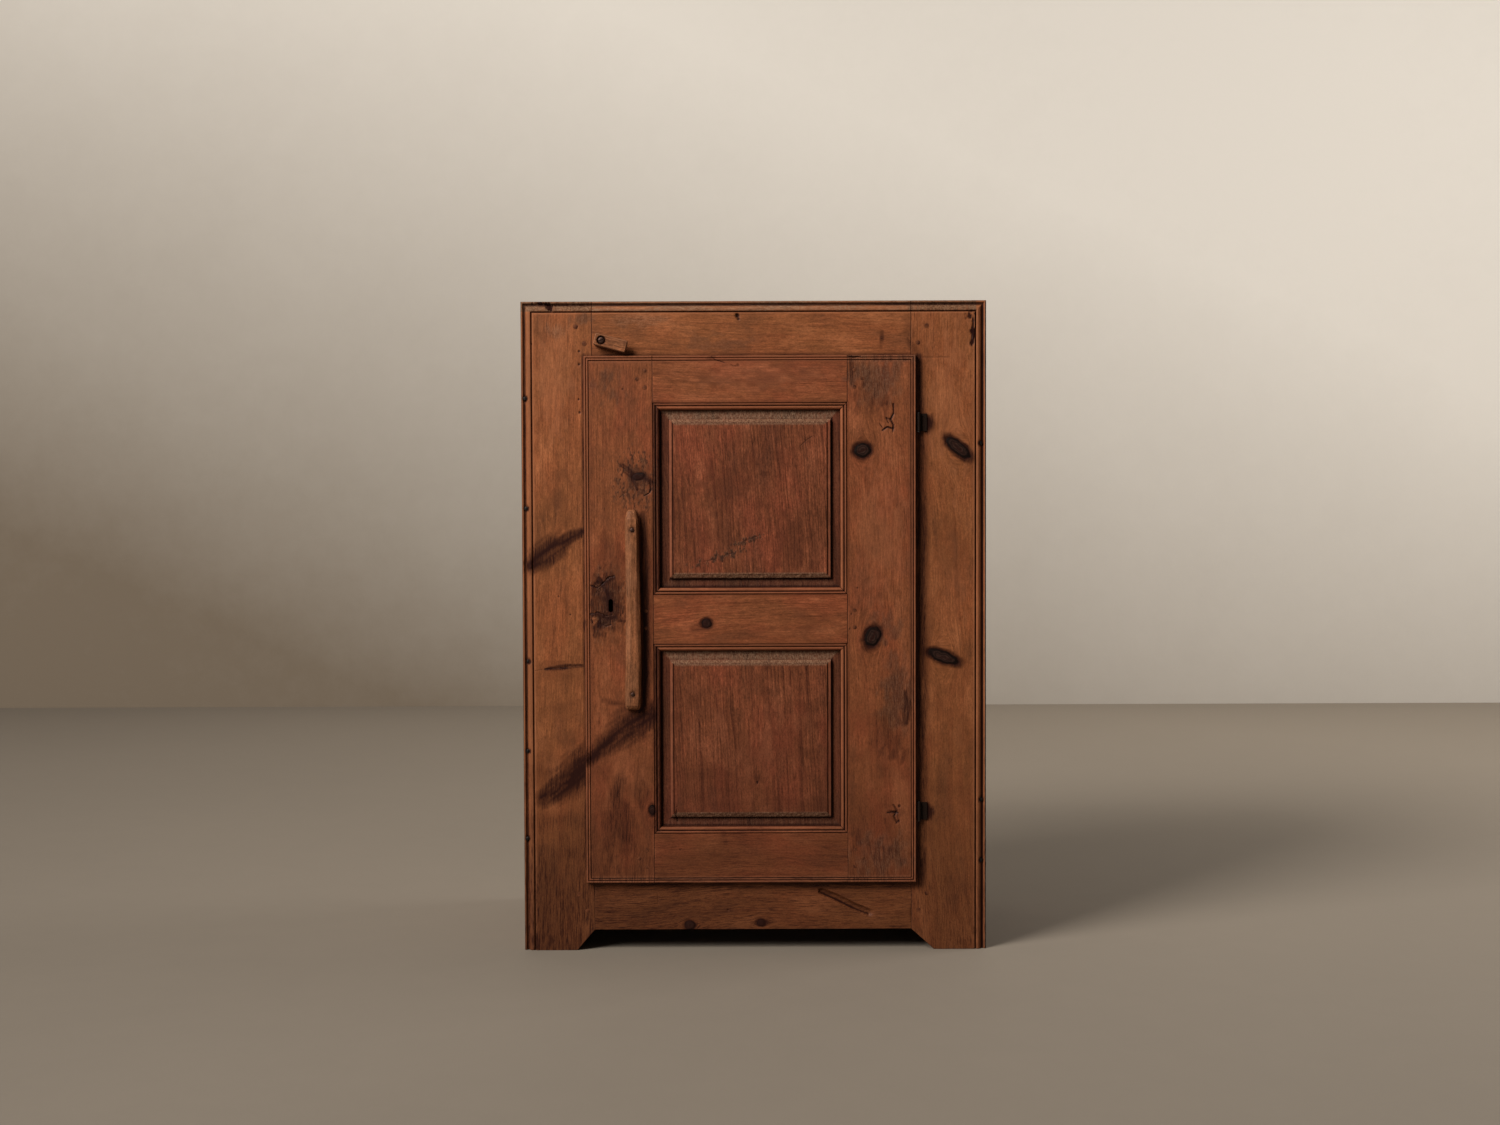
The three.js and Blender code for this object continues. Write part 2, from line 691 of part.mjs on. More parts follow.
/** The slotted screw that the button turns on. */
function buttonScrew() {
  const seat = counterboreDepth - buttonProud - fitGap;
  const head = turned(
    [
      [screwHeadRadius * screwCrownShare, seat - screwHeadThick],
      [screwHeadRadius, seat - screwHeadThick / 2], [screwHeadRadius, seat],
      [screwShankRadius, seat], [screwShankRadius, screwBite],
    ],
    (u, v, w) => [buttonX + u, w, buttonZ + v],
  );
  const [reach, crown] = [screwHeadRadius + overrun, seat - screwHeadThick];
  const slot = block(
    [buttonX - reach, crown - overrun, buttonZ - screwSlotWidth / 2],
    [buttonX + reach, crown + screwSlotDepth, buttonZ + screwSlotWidth / 2],
  );
  return cut(head, slot);
}

/** The knuckles of one leaf: every second one, counted from the bottom. */
function knuckles(middle, which) {
  const pitch = hingeLength / hingeKnuckleCount;
  const bottom = middle - hingeLength / 2;
  const last = hingeKnuckleCount - 1;
  const spans = Array.from({ length: hingeKnuckleCount }, (_, i) => [
    bottom + i * pitch + (i > 0 ? fitGap / 2 : 0), bottom + (i + 1) * pitch - (i < last ? fitGap / 2 : 0),
  ]);
  return spans.filter((_, i) => i % 2 === which);
}

/** One leaf: an outline in plan, notched round the other leaf's knuckles and bored for the pin. */
function hingeLeaf(outline, middle, which) {
  const plate = bar(outline, middle - hingeLength / 2, middle + hingeLength / 2, (x, y, z) => [x, y, z]);
  const clear = hingeKnuckleRadius + fitGap;
  const notches = knuckles(middle, 1 - which).map(([z0, z1]) => block(
    [hingeAxisX - clear, hingeAxisY - clear, z0 - fitGap], [hingeAxisX + clear, frameThick, z1 + fitGap],
  ));
  const rolls = knuckles(middle, which).map(([z0, z1]) => turned(
    [[hingeKnuckleRadius, z0], [hingeKnuckleRadius, z1]], (u, v, w) => [hingeAxisX + u, hingeAxisY + v, w],
  ));
  const bore = turned(
    [[hingePinRadius + fitGap, middle - hingeLength], [hingePinRadius + fitGap, middle + hingeLength]],
    (u, v, w) => [hingeAxisX + u, hingeAxisY + v, w],
  );
  return cut(join(cut(plate, ...notches), ...rolls), bore);
}

/** The leaf on the face of the frame. */
function frameLeaf(middle) {
  const [y0, y1] = [-hingeLeafThick - seatGap, -seatGap];
  const end = hingeAxisX + hingeLeafReach;
  return hingeLeaf([[hingeAxisX, y0], [end, y0], [end, y1], [hingeAxisX, y1]], middle, 0);
}

/** The leaf behind the lip, bent back along the side of the door. */
function doorLeaf(middle) {
  const [y0, y1] = [lipBack - hingeLeafThick, lipBack];
  const side = openingRight - doorClearance;
  const deep = lipBack + hingeFlangeDepth;
  return hingeLeaf([
    [side - hingeLeafThick, y0], [hingeAxisX, y0], [hingeAxisX, y1], [side, y1], [side, deep],
    [side - hingeLeafThick, deep],
  ], middle, 1);
}

/** The pin of a hinge, headed at both ends. */
function hingePin(middle) {
  const half = hingeLength / 2 + fitGap;
  const head = half + hingePinHeadThick;
  return turned(
    [[hingePinHeadRadius, -head], [hingePinHeadRadius, -half], [hingePinRadius, -half],
      [hingePinRadius, half], [hingePinHeadRadius, half], [hingePinHeadRadius, head]],
    (u, v, w) => [hingeAxisX + u, hingeAxisY + v, middle + w],
  );
}

// Face frame
addPiece('frame_stile_left', frameStile(-1, leftStileWidth, leftFootCut), 'frame');
addPiece('frame_stile_right', frameStile(1, rightStileWidth, rightFootCut), 'frame');
addPiece('frame_rail_top', frameRail(frameRails.top, true), 'frame');
addPiece('frame_rail_bottom', frameRail(frameRails.bottom, false), 'frame');
for (const [level, joint] of Object.entries(frameRails)) {
  const middle = (joint.tenonLow + joint.tenonHigh) / 2;
  for (const [sideName, side, shoulder] of [['left', -1, openingLeft], ['right', 1, openingRight]]) {
    framePegPlaces(middle).forEach(([into, z], i) => addPiece(
      `frame_peg_${level}_${sideName}_${i + 1}`,
      rodAlongY(framePegRadius, shoulder + side * into, z, -pegProud, frameThick), 'peg',
    ));
  }
}

// Carcase
addPiece('side_board_left', sideBoard(-1), 'carcase');
addPiece('side_board_right', sideBoard(1), 'carcase');
addPiece('top_board_front', topBoard(false), 'carcase');
addPiece('top_board_back', topBoard(true), 'carcase');
addPiece('case_floor', shelf(openingBottom, floorThick, boardFront), 'carcase');
addPiece('shelf_lower', shelf(lowerShelfTop, shelfThick, boardFront + shelfSetback), 'carcase');
addPiece('shelf_upper', shelf(upperShelfTop, shelfThick, boardFront + shelfSetback), 'carcase');
for (let i = 0; i < backBoardCount; i += 1) addPiece(`back_board_${i + 1}`, backBoard(i), 'carcase');

// Door
addPiece('door_stile_lock', doorStile(-1), 'door');
addPiece('door_stile_hinge', doorStile(1), 'door');
for (const [level, rail] of Object.entries(doorRails)) {
  addPiece(`door_rail_${level}`, doorRail(rail), 'door');
  for (const [sideName, side, shoulder] of [['lock', -1, doorRailLeft], ['hinge', 1, doorRailRight]]) {
    rail.pegs((rail.low + rail.high) / 2).forEach(([into, z], i) => addPiece(
      `door_peg_${level}_${sideName}_${i + 1}`,
      rodAlongY(doorPegRadius, shoulder + side * into, z, doorFront - pegProud, doorBack), 'peg',
    ));
  }
}
addPiece('door_panel_upper', raisedPanel(panelOpenings.upper), 'panel');
addPiece('door_panel_lower', raisedPanel(panelOpenings.lower), 'panel');
addPiece('door_handle', handle(), 'handle');
for (const [level, z] of Object.entries(handleNailHeights)) {
  addPiece(`handle_nail_${level}`, handleNail(z), 'iron');
}

// Hinges
for (const [level, middle] of Object.entries(hingeHeights)) {
  addPiece(`hinge_leaf_frame_${level}`, frameLeaf(middle), 'iron');
  addPiece(`hinge_leaf_door_${level}`, doorLeaf(middle), 'iron');
  addPiece(`hinge_pin_${level}`, hingePin(middle), 'iron');
}

// Turn button
addPiece('turn_button', turnButton(), 'frame');
addPiece('turn_button_screw', buttonScrew(), 'iron');

export default group;
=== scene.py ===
import logging
import math
from dataclasses import dataclass, field
from enum import Enum
from functools import cache
from typing import Callable, Iterator, Optional, Protocol, Sequence

import bpy
import numpy as np
from mathutils import Matrix, Vector


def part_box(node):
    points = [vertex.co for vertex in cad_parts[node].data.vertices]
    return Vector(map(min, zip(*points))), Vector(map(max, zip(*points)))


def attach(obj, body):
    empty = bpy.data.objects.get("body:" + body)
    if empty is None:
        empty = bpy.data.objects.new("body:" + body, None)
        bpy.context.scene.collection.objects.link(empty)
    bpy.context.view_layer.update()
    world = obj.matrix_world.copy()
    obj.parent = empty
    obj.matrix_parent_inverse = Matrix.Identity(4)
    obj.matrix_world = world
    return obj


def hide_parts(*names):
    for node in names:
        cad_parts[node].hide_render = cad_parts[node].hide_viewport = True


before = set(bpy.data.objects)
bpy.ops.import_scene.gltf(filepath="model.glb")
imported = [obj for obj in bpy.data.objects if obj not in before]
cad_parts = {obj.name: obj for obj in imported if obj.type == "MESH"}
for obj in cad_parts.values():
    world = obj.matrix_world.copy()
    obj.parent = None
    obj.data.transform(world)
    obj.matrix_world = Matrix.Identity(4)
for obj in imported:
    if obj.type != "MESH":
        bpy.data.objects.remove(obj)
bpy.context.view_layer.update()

log = logging.getLogger("jelly_cupboard")

Array = np.ndarray
Colour = tuple[float, float, float]
Place = tuple[float, float]
Line = tuple[Place, ...]
Point = tuple[float, float, float]
Zone = tuple[float, float, float, float, float]
Socket = bpy.types.NodeSocket

# Lengths are millimetres until a mesh is made. While a piece is worked out, the face of the frame is the
# plane y = 0; FACE_Y is how far it lies in front of the middle of the cupboard.
FACE_Y = 177
METRE = 0.001
HALF_WIDTH = 357
HEIGHT = 1000
DEPTH = 380
ARRIS = 0.8
TINY = 1e-6
ENDLESS = 1e4
# Grid lines close to each edge of a board, for its eased arris
RIM_LINES = (0.15, 0.35, 0.7)
# Seeds that follow from a place stay below this
SEEDS = 997


# Numbers and surfaces

def soft_noise(u: Array, v: Array, cell_u: float, cell_v: float, seed: int) -> Array:
    """Smooth noise from -1 to 1: random heights on a lattice, blended between neighbours by a cubic step.

    Args:
        u, v: places.
        cell_u, cell_v: size of a lattice cell.
        seed: picks the heights.

    Returns:
        The height at each place.
    """
    size = 64
    heights = np.random.default_rng(seed).uniform(-1, 1, (size, size))
    p, q = u / cell_u, v / cell_v
    i, j = np.floor(p).astype(int), np.floor(q).astype(int)
    f, g = p - i, q - j
    f, g = f * f * (3 - 2 * f), g * g * (3 - 2 * g)
    i, j, i1, j1 = i % size, j % size, (i + 1) % size, (j + 1) % size
    low = (1 - f) * heights[i, j] + f * heights[i1, j]
    high = (1 - f) * heights[i, j1] + f * heights[i1, j1]
    return (1 - g) * low + g * high


def rough_noise(u: Array, v: Array, cell_u: float, cell_v: float, seed: int) -> Array:
    """Soft noise with two finer ones added, each half the size and half the height of the last."""
    total = np.zeros(np.broadcast(u, v).shape)
    for octave in range(3):
        scale = 0.5 ** octave
        total += scale * soft_noise(u, v, cell_u * scale, cell_v * scale, seed + octave)
    return total


def from_ends(low: float, high: float, insets: Sequence[float]) -> list[float]:
    """The places at some distances from both ends of a stretch."""
    return [*[low + p for p in insets], *[high - p for p in insets]]


def box(u: Array, v: Array, margin: float, step: float) -> Zone:
    """The box round some places with a margin, and a grid step."""
    return np.min(u) - margin, np.max(u) + margin, np.min(v) - margin, np.max(v) + margin, step


def inset(u: Array, v: Array, low_u: float, high_u: float, low_v: float, high_v: float) -> Array:
    """How far a place lies inside the nearest side of a rectangle."""
    return np.minimum(np.minimum(u - low_u, high_u - u), np.minimum(v - low_v, high_v - v))


def circle(count: int) -> Array:
    """Angles evenly round a circle."""
    return np.linspace(0, 2 * np.pi, count, endpoint=False)


def fade(low: float, high: float, value: Array) -> Array:
    """0 at low, 1 at high and a cubic step between; low may be the greater."""
    share = np.clip((value - low) / (high - low), 0, 1)
    return share * share * (3 - 2 * share)


def graded_lines(low: float, high: float, step: float, zones: Sequence[Point] = (),
                 fixed: Sequence[float] = ()) -> Array:
    """Places of grid lines from low to high, by counting up the wanted density along a ruler.

    Args:
        low, high: first and last line.
        step: usual distance between lines.
        zones: (from, to, step) where lines stand closer.
        fixed: places that must have a line.

    Returns:
        Sorted places.
    """
    tick = 0.1
    ruler = np.linspace(low, high, int((high - low) / tick) + 2)
    local = np.full(len(ruler), float(step))
    for start, end, fine in zones:
        inside = (ruler >= start) & (ruler <= end)
        local[inside] = np.minimum(local[inside], fine)
    count = np.append(0, np.cumsum(np.diff(ruler) * 0.5 * (1 / local[1:] + 1 / local[:-1])))
    loose = np.interp(np.linspace(0, count[-1], max(2, int(count[-1]) + 1)), count, ruler)
    held = np.unique([low, high, *[place for place in fixed if low < place < high]])
    near = np.abs(loose[:, None] - held[None, :]).min(axis=1)
    return np.unique(np.concatenate([loose[near > 0.4 * np.interp(loose, ruler, local)], held]))


@dataclass(frozen=True)
class Moulding:
    """A moulding along an edge, given as shares of its width and depth from the edge inwards."""

    width: float
    depth: float
    shares: Line
    parts = 2

    def curve(self) -> tuple[Array, Array]:
        """The profile: a cubic through the shares whose slope at each is that of its two neighbours.

        Returns:
            Distances from the edge, and the depth at each.
        """
        x, y = np.array(self.shares).T
        slope = np.gradient(y, x)
        slope[0] = slope[-1] = 0
        start = np.repeat(np.arange(len(x) - 1), self.parts)
        t = np.tile(np.arange(self.parts) / self.parts, len(x) - 1)
        span = x[start + 1] - x[start]
        rise = ((2 * t**3 - 3 * t**2 + 1) * y[start] + (t**3 - 2 * t**2 + t) * span * slope[start]
                + (3 * t**2 - 2 * t**3) * y[start + 1] + (t**3 - t**2) * span * slope[start + 1])
        places = np.append(x[start] + t * span, x[-1])
        return places * self.width, np.append(rise, y[-1]) * self.depth

    def depth_at(self, distance: Array) -> Array:
        """Depth of the profile at a distance from the edge, 0 beyond it."""
        places, depths = self.curve()
        return np.interp(distance, places, depths, left=depths[0], right=0)

    def hollow_at(self, distance: Array, window: float = 2.4) -> Array:
        """How hollow the profile is: its depth less the mean depth a window to either side."""
        around = [self.depth_at(np.abs(distance + shift)) for shift in (-window, -window / 2, window / 2, window)]
        return self.depth_at(distance) - np.mean(around, axis=0)


FRAME_MOULDING = Moulding(18.6, 6, (
    (0, 1), (0.03, 0.7), (0.08, 0.54), (0.17, 0.56), (0.22, 0.8), (0.3, 0.92), (0.38, 0.84), (0.46, 0.52),
    (0.56, 0.25), (0.66, 0.1), (0.76, 0.07), (0.83, 0.15), (0.87, 0.4), (0.92, 0.46), (0.96, 0.24), (1, 0)))
DOOR_BEAD = Moulding(8.6, 2.4, (
    (0, 1), (0.05, 0.5), (0.16, 0.22), (0.3, 0.22), (0.4, 0.46), (0.46, 0.8), (0.53, 0.42),
    (0.64, 0.2), (0.76, 0.22), (0.85, 0.5), (0.91, 0.86), (1, 0)))
STICKING = Moulding(11.5, 5.5, (
    (0, 1), (0.1, 0.62), (0.21, 0.34), (0.35, 0.22), (0.48, 0.3), (0.57, 0.5), (0.66, 0.2), (0.78, 0.1),
    (0.89, 0.2), (0.95, 0.36), (1, 0)))

# Grid lines that the sticking asks for, counted from an opening: across a member, and along it at a mitre
STICK_LINES = STICKING.width - STICKING.curve()[0]
MITRE_LINES = np.arange(0, STICKING.width, 0.7)

COLOUR_MARKS = ("dark", "dust", "pale", "torn")
SEEN = ("knot", *COLOUR_MARKS)
WORKED = ("depth", "swerve", *SEEN)


@dataclass
class Surface:
    """The points of one board while it is worked: places on its face, and what is done to each."""

    u: Array
    v: Array
    along_v: bool
    depth: Array = field(init=False)
    knot: Array = field(init=False)
    dark: Array = field(init=False)
    dust: Array = field(init=False)
    pale: Array = field(init=False)
    torn: Array = field(init=False)
    swerve: Array = field(init=False)

    def __post_init__(self) -> None:
        """Starts every mark at nothing."""
        for name in WORKED:
            setattr(self, name, np.zeros(self.u.shape))

    def raise_mark(self, name: str, share: Array) -> None:
        """Raises one of the marks to a share where it is lower."""
        setattr(self, name, np.maximum(getattr(self, name), share))

    def oval(self, mark: "Knot | StainAndShade") -> tuple[Array, Array, Array, Array]:
        """Offsets from the middle of an oval mark, and the same along its tilted axes in half lengths."""
        a = math.radians(mark.tilt)
        du, dv = self.u - mark.u, self.v - mark.v
        return (du, dv, (du * math.cos(a) + dv * math.sin(a)) / mark.half_long,
                (dv * math.cos(a) - du * math.sin(a)) / mark.half_short)

    def spans(self, line: Array) -> Iterator[tuple[Array, Array, Array, float]]:
        """For each span of a line: the share of it beside each point, the distances off it and aside, its length."""
        for start, end in zip(line[:-1], line[1:]):
            u, v, (du, dv) = self.u - start[0], self.v - start[1], (end - start)[:2]
            length = math.hypot(du, dv)
            t = np.clip((u * du + v * dv) / length**2, 0, 1)
            yield t, np.hypot(u - t * du, v - t * dv), (v * du - u * dv) / length, length

    def work(self, mark: "Mark") -> None:
        """Lets a mark work on the points within its reach only."""
        low_u, high_u, low_v, high_v, _ = mark.zone()
        far_u, far_v = mark.far * (high_u - low_u), mark.far * (high_v - low_v)
        near = (self.u > low_u - far_u) & (self.u < high_u + far_u)
        near &= (self.v > low_v - far_v) & (self.v < high_v + far_v)
        if not near.any():
            return
        part = Surface(self.u[near], self.v[near], self.along_v)
        for name in WORKED:
            setattr(part, name, getattr(self, name)[near])
        mark.work(part)
        for name in WORKED:
            getattr(self, name)[near] = getattr(part, name)


class Mark(Protocol):
    """Something that age or use left on a board; some marks are painted shade or painted highlights instead.

    Attributes:
        far: how far beyond its zone it works, as a share of the zone.
    """

    far: float

    def zone(self) -> Zone:
        """Lowest u, highest u, lowest v, highest v, and the grid step that it needs."""

    def work(self, s: Surface) -> None:
        """Adds it to a surface."""


@dataclass(frozen=True)
class Knot:
    """A knot: an ellipse that the grain flows round, with a fine crack at its rim."""

    u: float
    v: float
    half_long: float
    half_short: float
    tilt: float
    far = 3

    def zone(self) -> Zone:
        """The knot and a little round it."""
        return box(self.u, self.v, self.half_long * 1.25, 1.5)

    def work(self, s: Surface) -> None:
        """Marks the ellipse and pushes the grain aside.

        The grain is moved like a flow round a post: by the offset across the grain over the squared
        distance in knot radii, fading out after a few radii.
        """
        du, dv, p, q = s.oval(self)
        ragged = 0.13 * rough_noise(s.u, s.v, 8, 8, int(abs(self.u)) + 3)
        reach = np.hypot(p, q) + ragged
        s.raise_mark("knot", np.clip(1 - reach / 2, 0, 1))
        s.raise_mark("dark", 0.85 * fade(1.7, 1, reach) * fade(0.9, 1.05, reach))
        s.raise_mark("dark", 0.8 * fade(0.14, 0.04, np.abs(q + 1.2 * ragged)) * fade(0.7, 0.4, np.abs(p)))
        across, along = (du, dv) if s.along_v else (dv, du)
        wide = 0.5 * (self.half_long + self.half_short)
        squared = (across / wide) ** 2 + (along / (1.7 * wide)) ** 2
        s.swerve -= across / np.maximum(squared, 1) * np.exp(-squared / 14)
        s.depth += 0.5 * np.exp(-(((reach - 1) / 0.1) ** 2)) - 0.25 * fade(0.95, 0.6, reach)


@dataclass(frozen=True)
class StainAndShade:
    """A soft ragged ellipse of grime, wear or torn wood, which may be sunk; two are painted shadow round the hinges,
    and one is a painted glint.
    """

    u: float
    v: float
    half_long: float
    half_short: float
    dark: float = 0.0
    ragged: float = 0.35
    tilt: float = 0.0
    dust: float = 0.0
    pale: float = 0.0
    torn: float = 0.0
    sink: float = 0.0
    soft: float = 0.8
    cell: float = 9.0
    far = 0.45

    def zone(self) -> Zone:
        """Its box; only a sunk or torn one needs a finer grid."""
        return box(self.u, self.v, max(self.half_long, self.half_short), 1.4 if self.sink or self.torn else 2.2)

    def work(self, s: Surface) -> None:
        """Raises its marks to a share that falls off towards a rim roughened by noise."""
        _, _, p, q = s.oval(self)
        seed = int(abs(self.u) * 3 + abs(self.v)) % SEEDS
        stretch = (0.8, 1.7) if s.along_v else (1.7, 0.8)
        rough = rough_noise(s.u, s.v, self.cell * stretch[0], self.cell * stretch[1], seed)
        reach = np.hypot(p, q) + self.ragged * rough
        share = fade(1, 1 - self.soft, reach)
        for name in COLOUR_MARKS:
            s.raise_mark(name, getattr(self, name) * share)
        if self.sink:
            s.depth += self.sink * share * (0.75 + 0.5 * rough)


@dataclass(frozen=True)
class Scar:
    """A groove, crack or scratch along a line of points."""

    points: Line
    width: float
    depth: float
    dark: float = 0.8
    fray: float = 0.0
    blunt: float = 0.5
    far = 0.5

    def zone(self) -> Zone:
        """The box of the line, with a step that its width needs."""
        return box(*np.array(self.points).T, self.width, max(0.8, self.width / 2.5))

    def work(self, s: Surface) -> None:
        """Sinks the points near the line: the groove is rounded across and shallower to its ends."""
        line = np.array(self.points)
        near = np.full(s.u.shape, np.inf)
        ends = np.zeros(s.u.shape)
        wander = self.fray * rough_noise(s.u, s.v, 6, 6, int(abs(line[0, 0])) + 11)
        for index, (t, gap, _, _) in enumerate(s.spans(line)):
            ends = np.where(gap + wander < near, (index + t) / (len(line) - 1), ends)
            near = np.minimum(near, gap + wander)
        taper = self.blunt + (1 - self.blunt) * np.sin(np.pi * np.clip(ends, 0.04, 0.96)) ** 0.5
        share = fade(1, 0.35, near / (0.5 * self.width * taper))
        s.raise_mark("dark", self.dark * share)
        s.depth += self.depth * share * taper


@dataclass(frozen=True)
class SmearAndShadow:
    """A soft dark band along a line of (u, v, width) points, brushed out along the grain: a smear of grime, and in
    some uses a painted shadow.
    """

    points: tuple[Point, ...]
    dark: float
    ragged: float = 0.3
    far = 0.5

    def zone(self) -> Zone:
        """The box of the line; colour alone needs only a fairly fine grid."""
        u, v, width = np.array(self.points).T
        return box(u, v, width.max() / 2, 2)

    def work(self, s: Surface) -> None:
        """Darkens by the distance to the line in half widths, roughened by noise drawn out along the line."""
        line = np.array(self.points)
        reach = np.full(s.u.shape, np.inf)
        along, aside, walked = np.zeros(s.u.shape), np.zeros(s.u.shape), 0
        for (t, gap, off, length), width, growth in zip(s.spans(line), line[:, 2], np.diff(line[:, 2])):
            gap = gap / (0.5 * (width + t * growth))
            along = np.where(gap < reach, walked + t * length, along)
            aside = np.where(gap < reach, off, aside)
            reach = np.minimum(reach, gap)
            walked += length
        rough = rough_noise(along, aside, 34, 4.5, int(abs(line[0, 0] + line[0, 1])) % SEEDS)
        share = fade(1.45, 0.3, reach + self.ragged * rough)
        s.raise_mark("dark", self.dark * np.clip(share * (0.92 + 0.3 * rough), 0, 1))


@dataclass(frozen=True)
class Weather:
    """A band of grime and bare fibre between two heights, or between two places across."""

    low_u: float
    high_u: float
    low_v: float
    high_v: float
    dark: float = 0.0
    dust: float = 0.0
    torn: float = 0.0
    soft: float = 2.0
    far = 0

    def zone(self) -> Zone:
        """Its box, which only torn fibre needs finer."""
        return self.low_u, self.high_u, self.low_v, self.high_v, 1.6 if self.torn else ENDLESS

    def work(self, s: Surface) -> None:
        """Raises its marks inside the box, unevenly and softly at its sides."""
        edge = inset(s.u, s.v, self.low_u, self.high_u, self.low_v, self.high_v)
        stretch = (6, 45) if s.along_v else (45, 6)
        rough = rough_noise(s.u, s.v, *stretch, int(abs(self.low_u + self.low_v)) % SEEDS)
        share = fade(0, self.soft, edge) * np.clip(0.75 + 0.45 * rough, 0, 1)
        for name in ("dark", "dust", "torn"):
            s.raise_mark(name, getattr(self, name) * share)
        if self.torn:
            s.depth += 0.5 * self.torn * share * (1 + rough_noise(s.u, s.v, 3, 3, 19))


@dataclass(frozen=True)
class Dent:
    """A small round hole or dent with grime in it."""

    u: float
    v: float
    radius: float
    depth: float = 0.8
    dark: float = 0.9
    far = 0.2

    def zone(self) -> Zone:
        """Its box, with a step of half its radius."""
        return box(self.u, self.v, self.radius * 1.4, max(0.8, self.radius / 2))

    def work(self, s: Surface) -> None:
        """Sinks and darkens a circle with a soft rim."""
        reach = np.hypot(s.u - self.u, s.v - self.v) / self.radius
        share = fade(1.15, 0.6, reach)
        s.raise_mark("dark", self.dark * share)
        s.depth += self.depth * share


@dataclass(frozen=True)
class GrimeAndShadeSkirt:
    """Grime and painted shade that darken everything below a height; the shade stands in for the light falling off
    towards the floor.
    """

    top: float
    dark: float
    right_share: float = 1.0
    far = 0

    def zone(self) -> Zone:
        """All below its top; it needs no lines of its own."""
        return -ENDLESS, ENDLESS, -1, self.top, ENDLESS

    def work(self, s: Surface) -> None:
        """Darkens from nothing at the top to its full strength at the floor, unevenly."""
        uneven = 0.3 * rough_noise(s.u, s.v, 40, 25, 77)
        lean = np.interp(s.u, (-HALF_WIDTH, HALF_WIDTH), (1, self.right_share))
        s.raise_mark("dark", self.dark * lean * fade(self.top, 0, s.v * (1 + uneven)))


def rows(kind: Callable[..., Mark], *table: Sequence[object], **shared: float) -> list[Mark]:
    """Marks of one kind, one for each row of values, with the values that they share."""
    return [kind(*row, **shared) for row in table]


@dataclass
class Skin:
    """A closed mesh before Blender has it: points, quads, flat caps and the marks of each point."""

    points: Array
    quads: Array
    caps: list[Array]
    marks: dict[str, Array] = field(default_factory=dict)

    def outward(self) -> "Skin":
        """The same skin with its faces turned outwards, judged by the sign of its volume."""
        fans = [np.stack([np.full(len(c) - 2, c[0]), c[1:-1], c[2:]], axis=1) for c in self.caps]
        triangles = np.concatenate([self.quads[:, [0, 1, 2]], self.quads[:, [0, 2, 3]], *fans])
        p, q, r = (self.points[triangles[:, k]] - self.points.mean(axis=0) for k in range(3))
        if np.einsum("ij,ij->", p, np.cross(q, r)) < 0:
            return Skin(self.points, self.quads[:, ::-1], [c[::-1] for c in self.caps], self.marks)
        return self

    def packed(self) -> "Skin":
        """The same skin without the points that no face uses."""
        used = np.unique(np.concatenate([self.quads.ravel(), *self.caps]))
        places = np.zeros(len(self.points), int)
        places[used] = np.arange(len(used))
        marks = {name: values[used] for name, values in self.marks.items()}
        return Skin(self.points[used], places[self.quads], [places[cap] for cap in self.caps], marks)


def joined(skins: Sequence[Skin]) -> Skin:
    """Several skins as one: points in a row, and every face counted on from the last skin."""
    offsets = np.cumsum([0, *[len(s.points) for s in skins[:-1]]])
    return Skin(
        np.concatenate([s.points for s in skins]),
        np.concatenate([s.quads + o for s, o in zip(skins, offsets)]),
        [c + o for s, o in zip(skins, offsets) for c in s.caps],
        {name: np.concatenate([s.marks[name] for s in skins]) for name in skins[0].marks},
    )


def tube(rings: Array, marks: Optional[dict[str, Array]] = None) -> Skin:
    """A skin from rings of points, each joined to the next, with a flat cap at both ends.

    Args:
        rings: (ring, point, 3).
        marks: (ring, point) or (ring, point, 3) for each mark.

    Returns:
        The closed skin, not yet turned outwards.
    """
    count, around = rings.shape[:2]
    index = np.arange(count * around).reshape(count, around)
    beside = np.roll(index, -1, axis=1)
    quads = np.stack([index[:-1], beside[:-1], beside[1:], index[1:]], axis=-1).reshape(-1, 4)
    flat = {name: values.reshape(count * around, *values.shape[2:]) for name, values in (marks or {}).items()}
    return Skin(rings.reshape(-1, 3), quads, [index[0][::-1], index[-1]], flat)


def unmarked(shape: tuple[int, ...]) -> dict[str, Array]:
    """Every mark that a finish sees, at nothing."""
    return {name: np.zeros(shape) for name in SEEN}


def put(name: str, data: object) -> bpy.types.Object:
    """A new object of the scene, at the origin."""
    thing = bpy.data.objects.new(name, data)
    bpy.context.scene.collection.objects.link(thing)
    return thing


def weave(name: str, skin: Skin, finish: "Finish", body: str, node: str = "", sharp: float = 32) -> None:
    """Puts a skin into a mesh object at the origin, and hangs it on the empty of its body.

    Args:
        name: of the piece.
        skin: what it is made of, in millimetres.
        finish: what it is dressed in.
        body: that it rides on.
        node: whose place it takes, if any.
        sharp: angle in degrees above which an edge is drawn crisp.
    """
    skin = skin.packed().outward()
    mesh = bpy.data.meshes.new(name)
    points = (skin.points - (0, FACE_Y, 0)) * METRE
    faces = [*skin.quads.tolist(), *[cap.tolist() for cap in skin.caps]]
    mesh.from_pydata(points.tolist(), [], faces, shade_flat=False)
    mesh.set_sharp_from_angle(angle=math.radians(sharp))
    for mark, values in skin.marks.items():
        vector = values.ndim == 2
        kind, key = ("FLOAT_VECTOR", "vector") if vector else ("FLOAT", "value")
        layer = mesh.attributes.new(mark, kind, "POINT")
        layer.data.foreach_set(key, values.astype(np.float32).ravel())
    end = mesh.attributes.new("end", "FLOAT", "FACE")
    end.data.foreach_set("value", (np.arange(len(faces)) >= len(skin.quads)).astype(np.float32))
    mesh.materials.append(finish.material())
    piece = put(name, mesh)
    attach(piece, body)
    if node:
        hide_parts(node)
    log.info("%s: %d faces", name, len(faces))


# Finishes

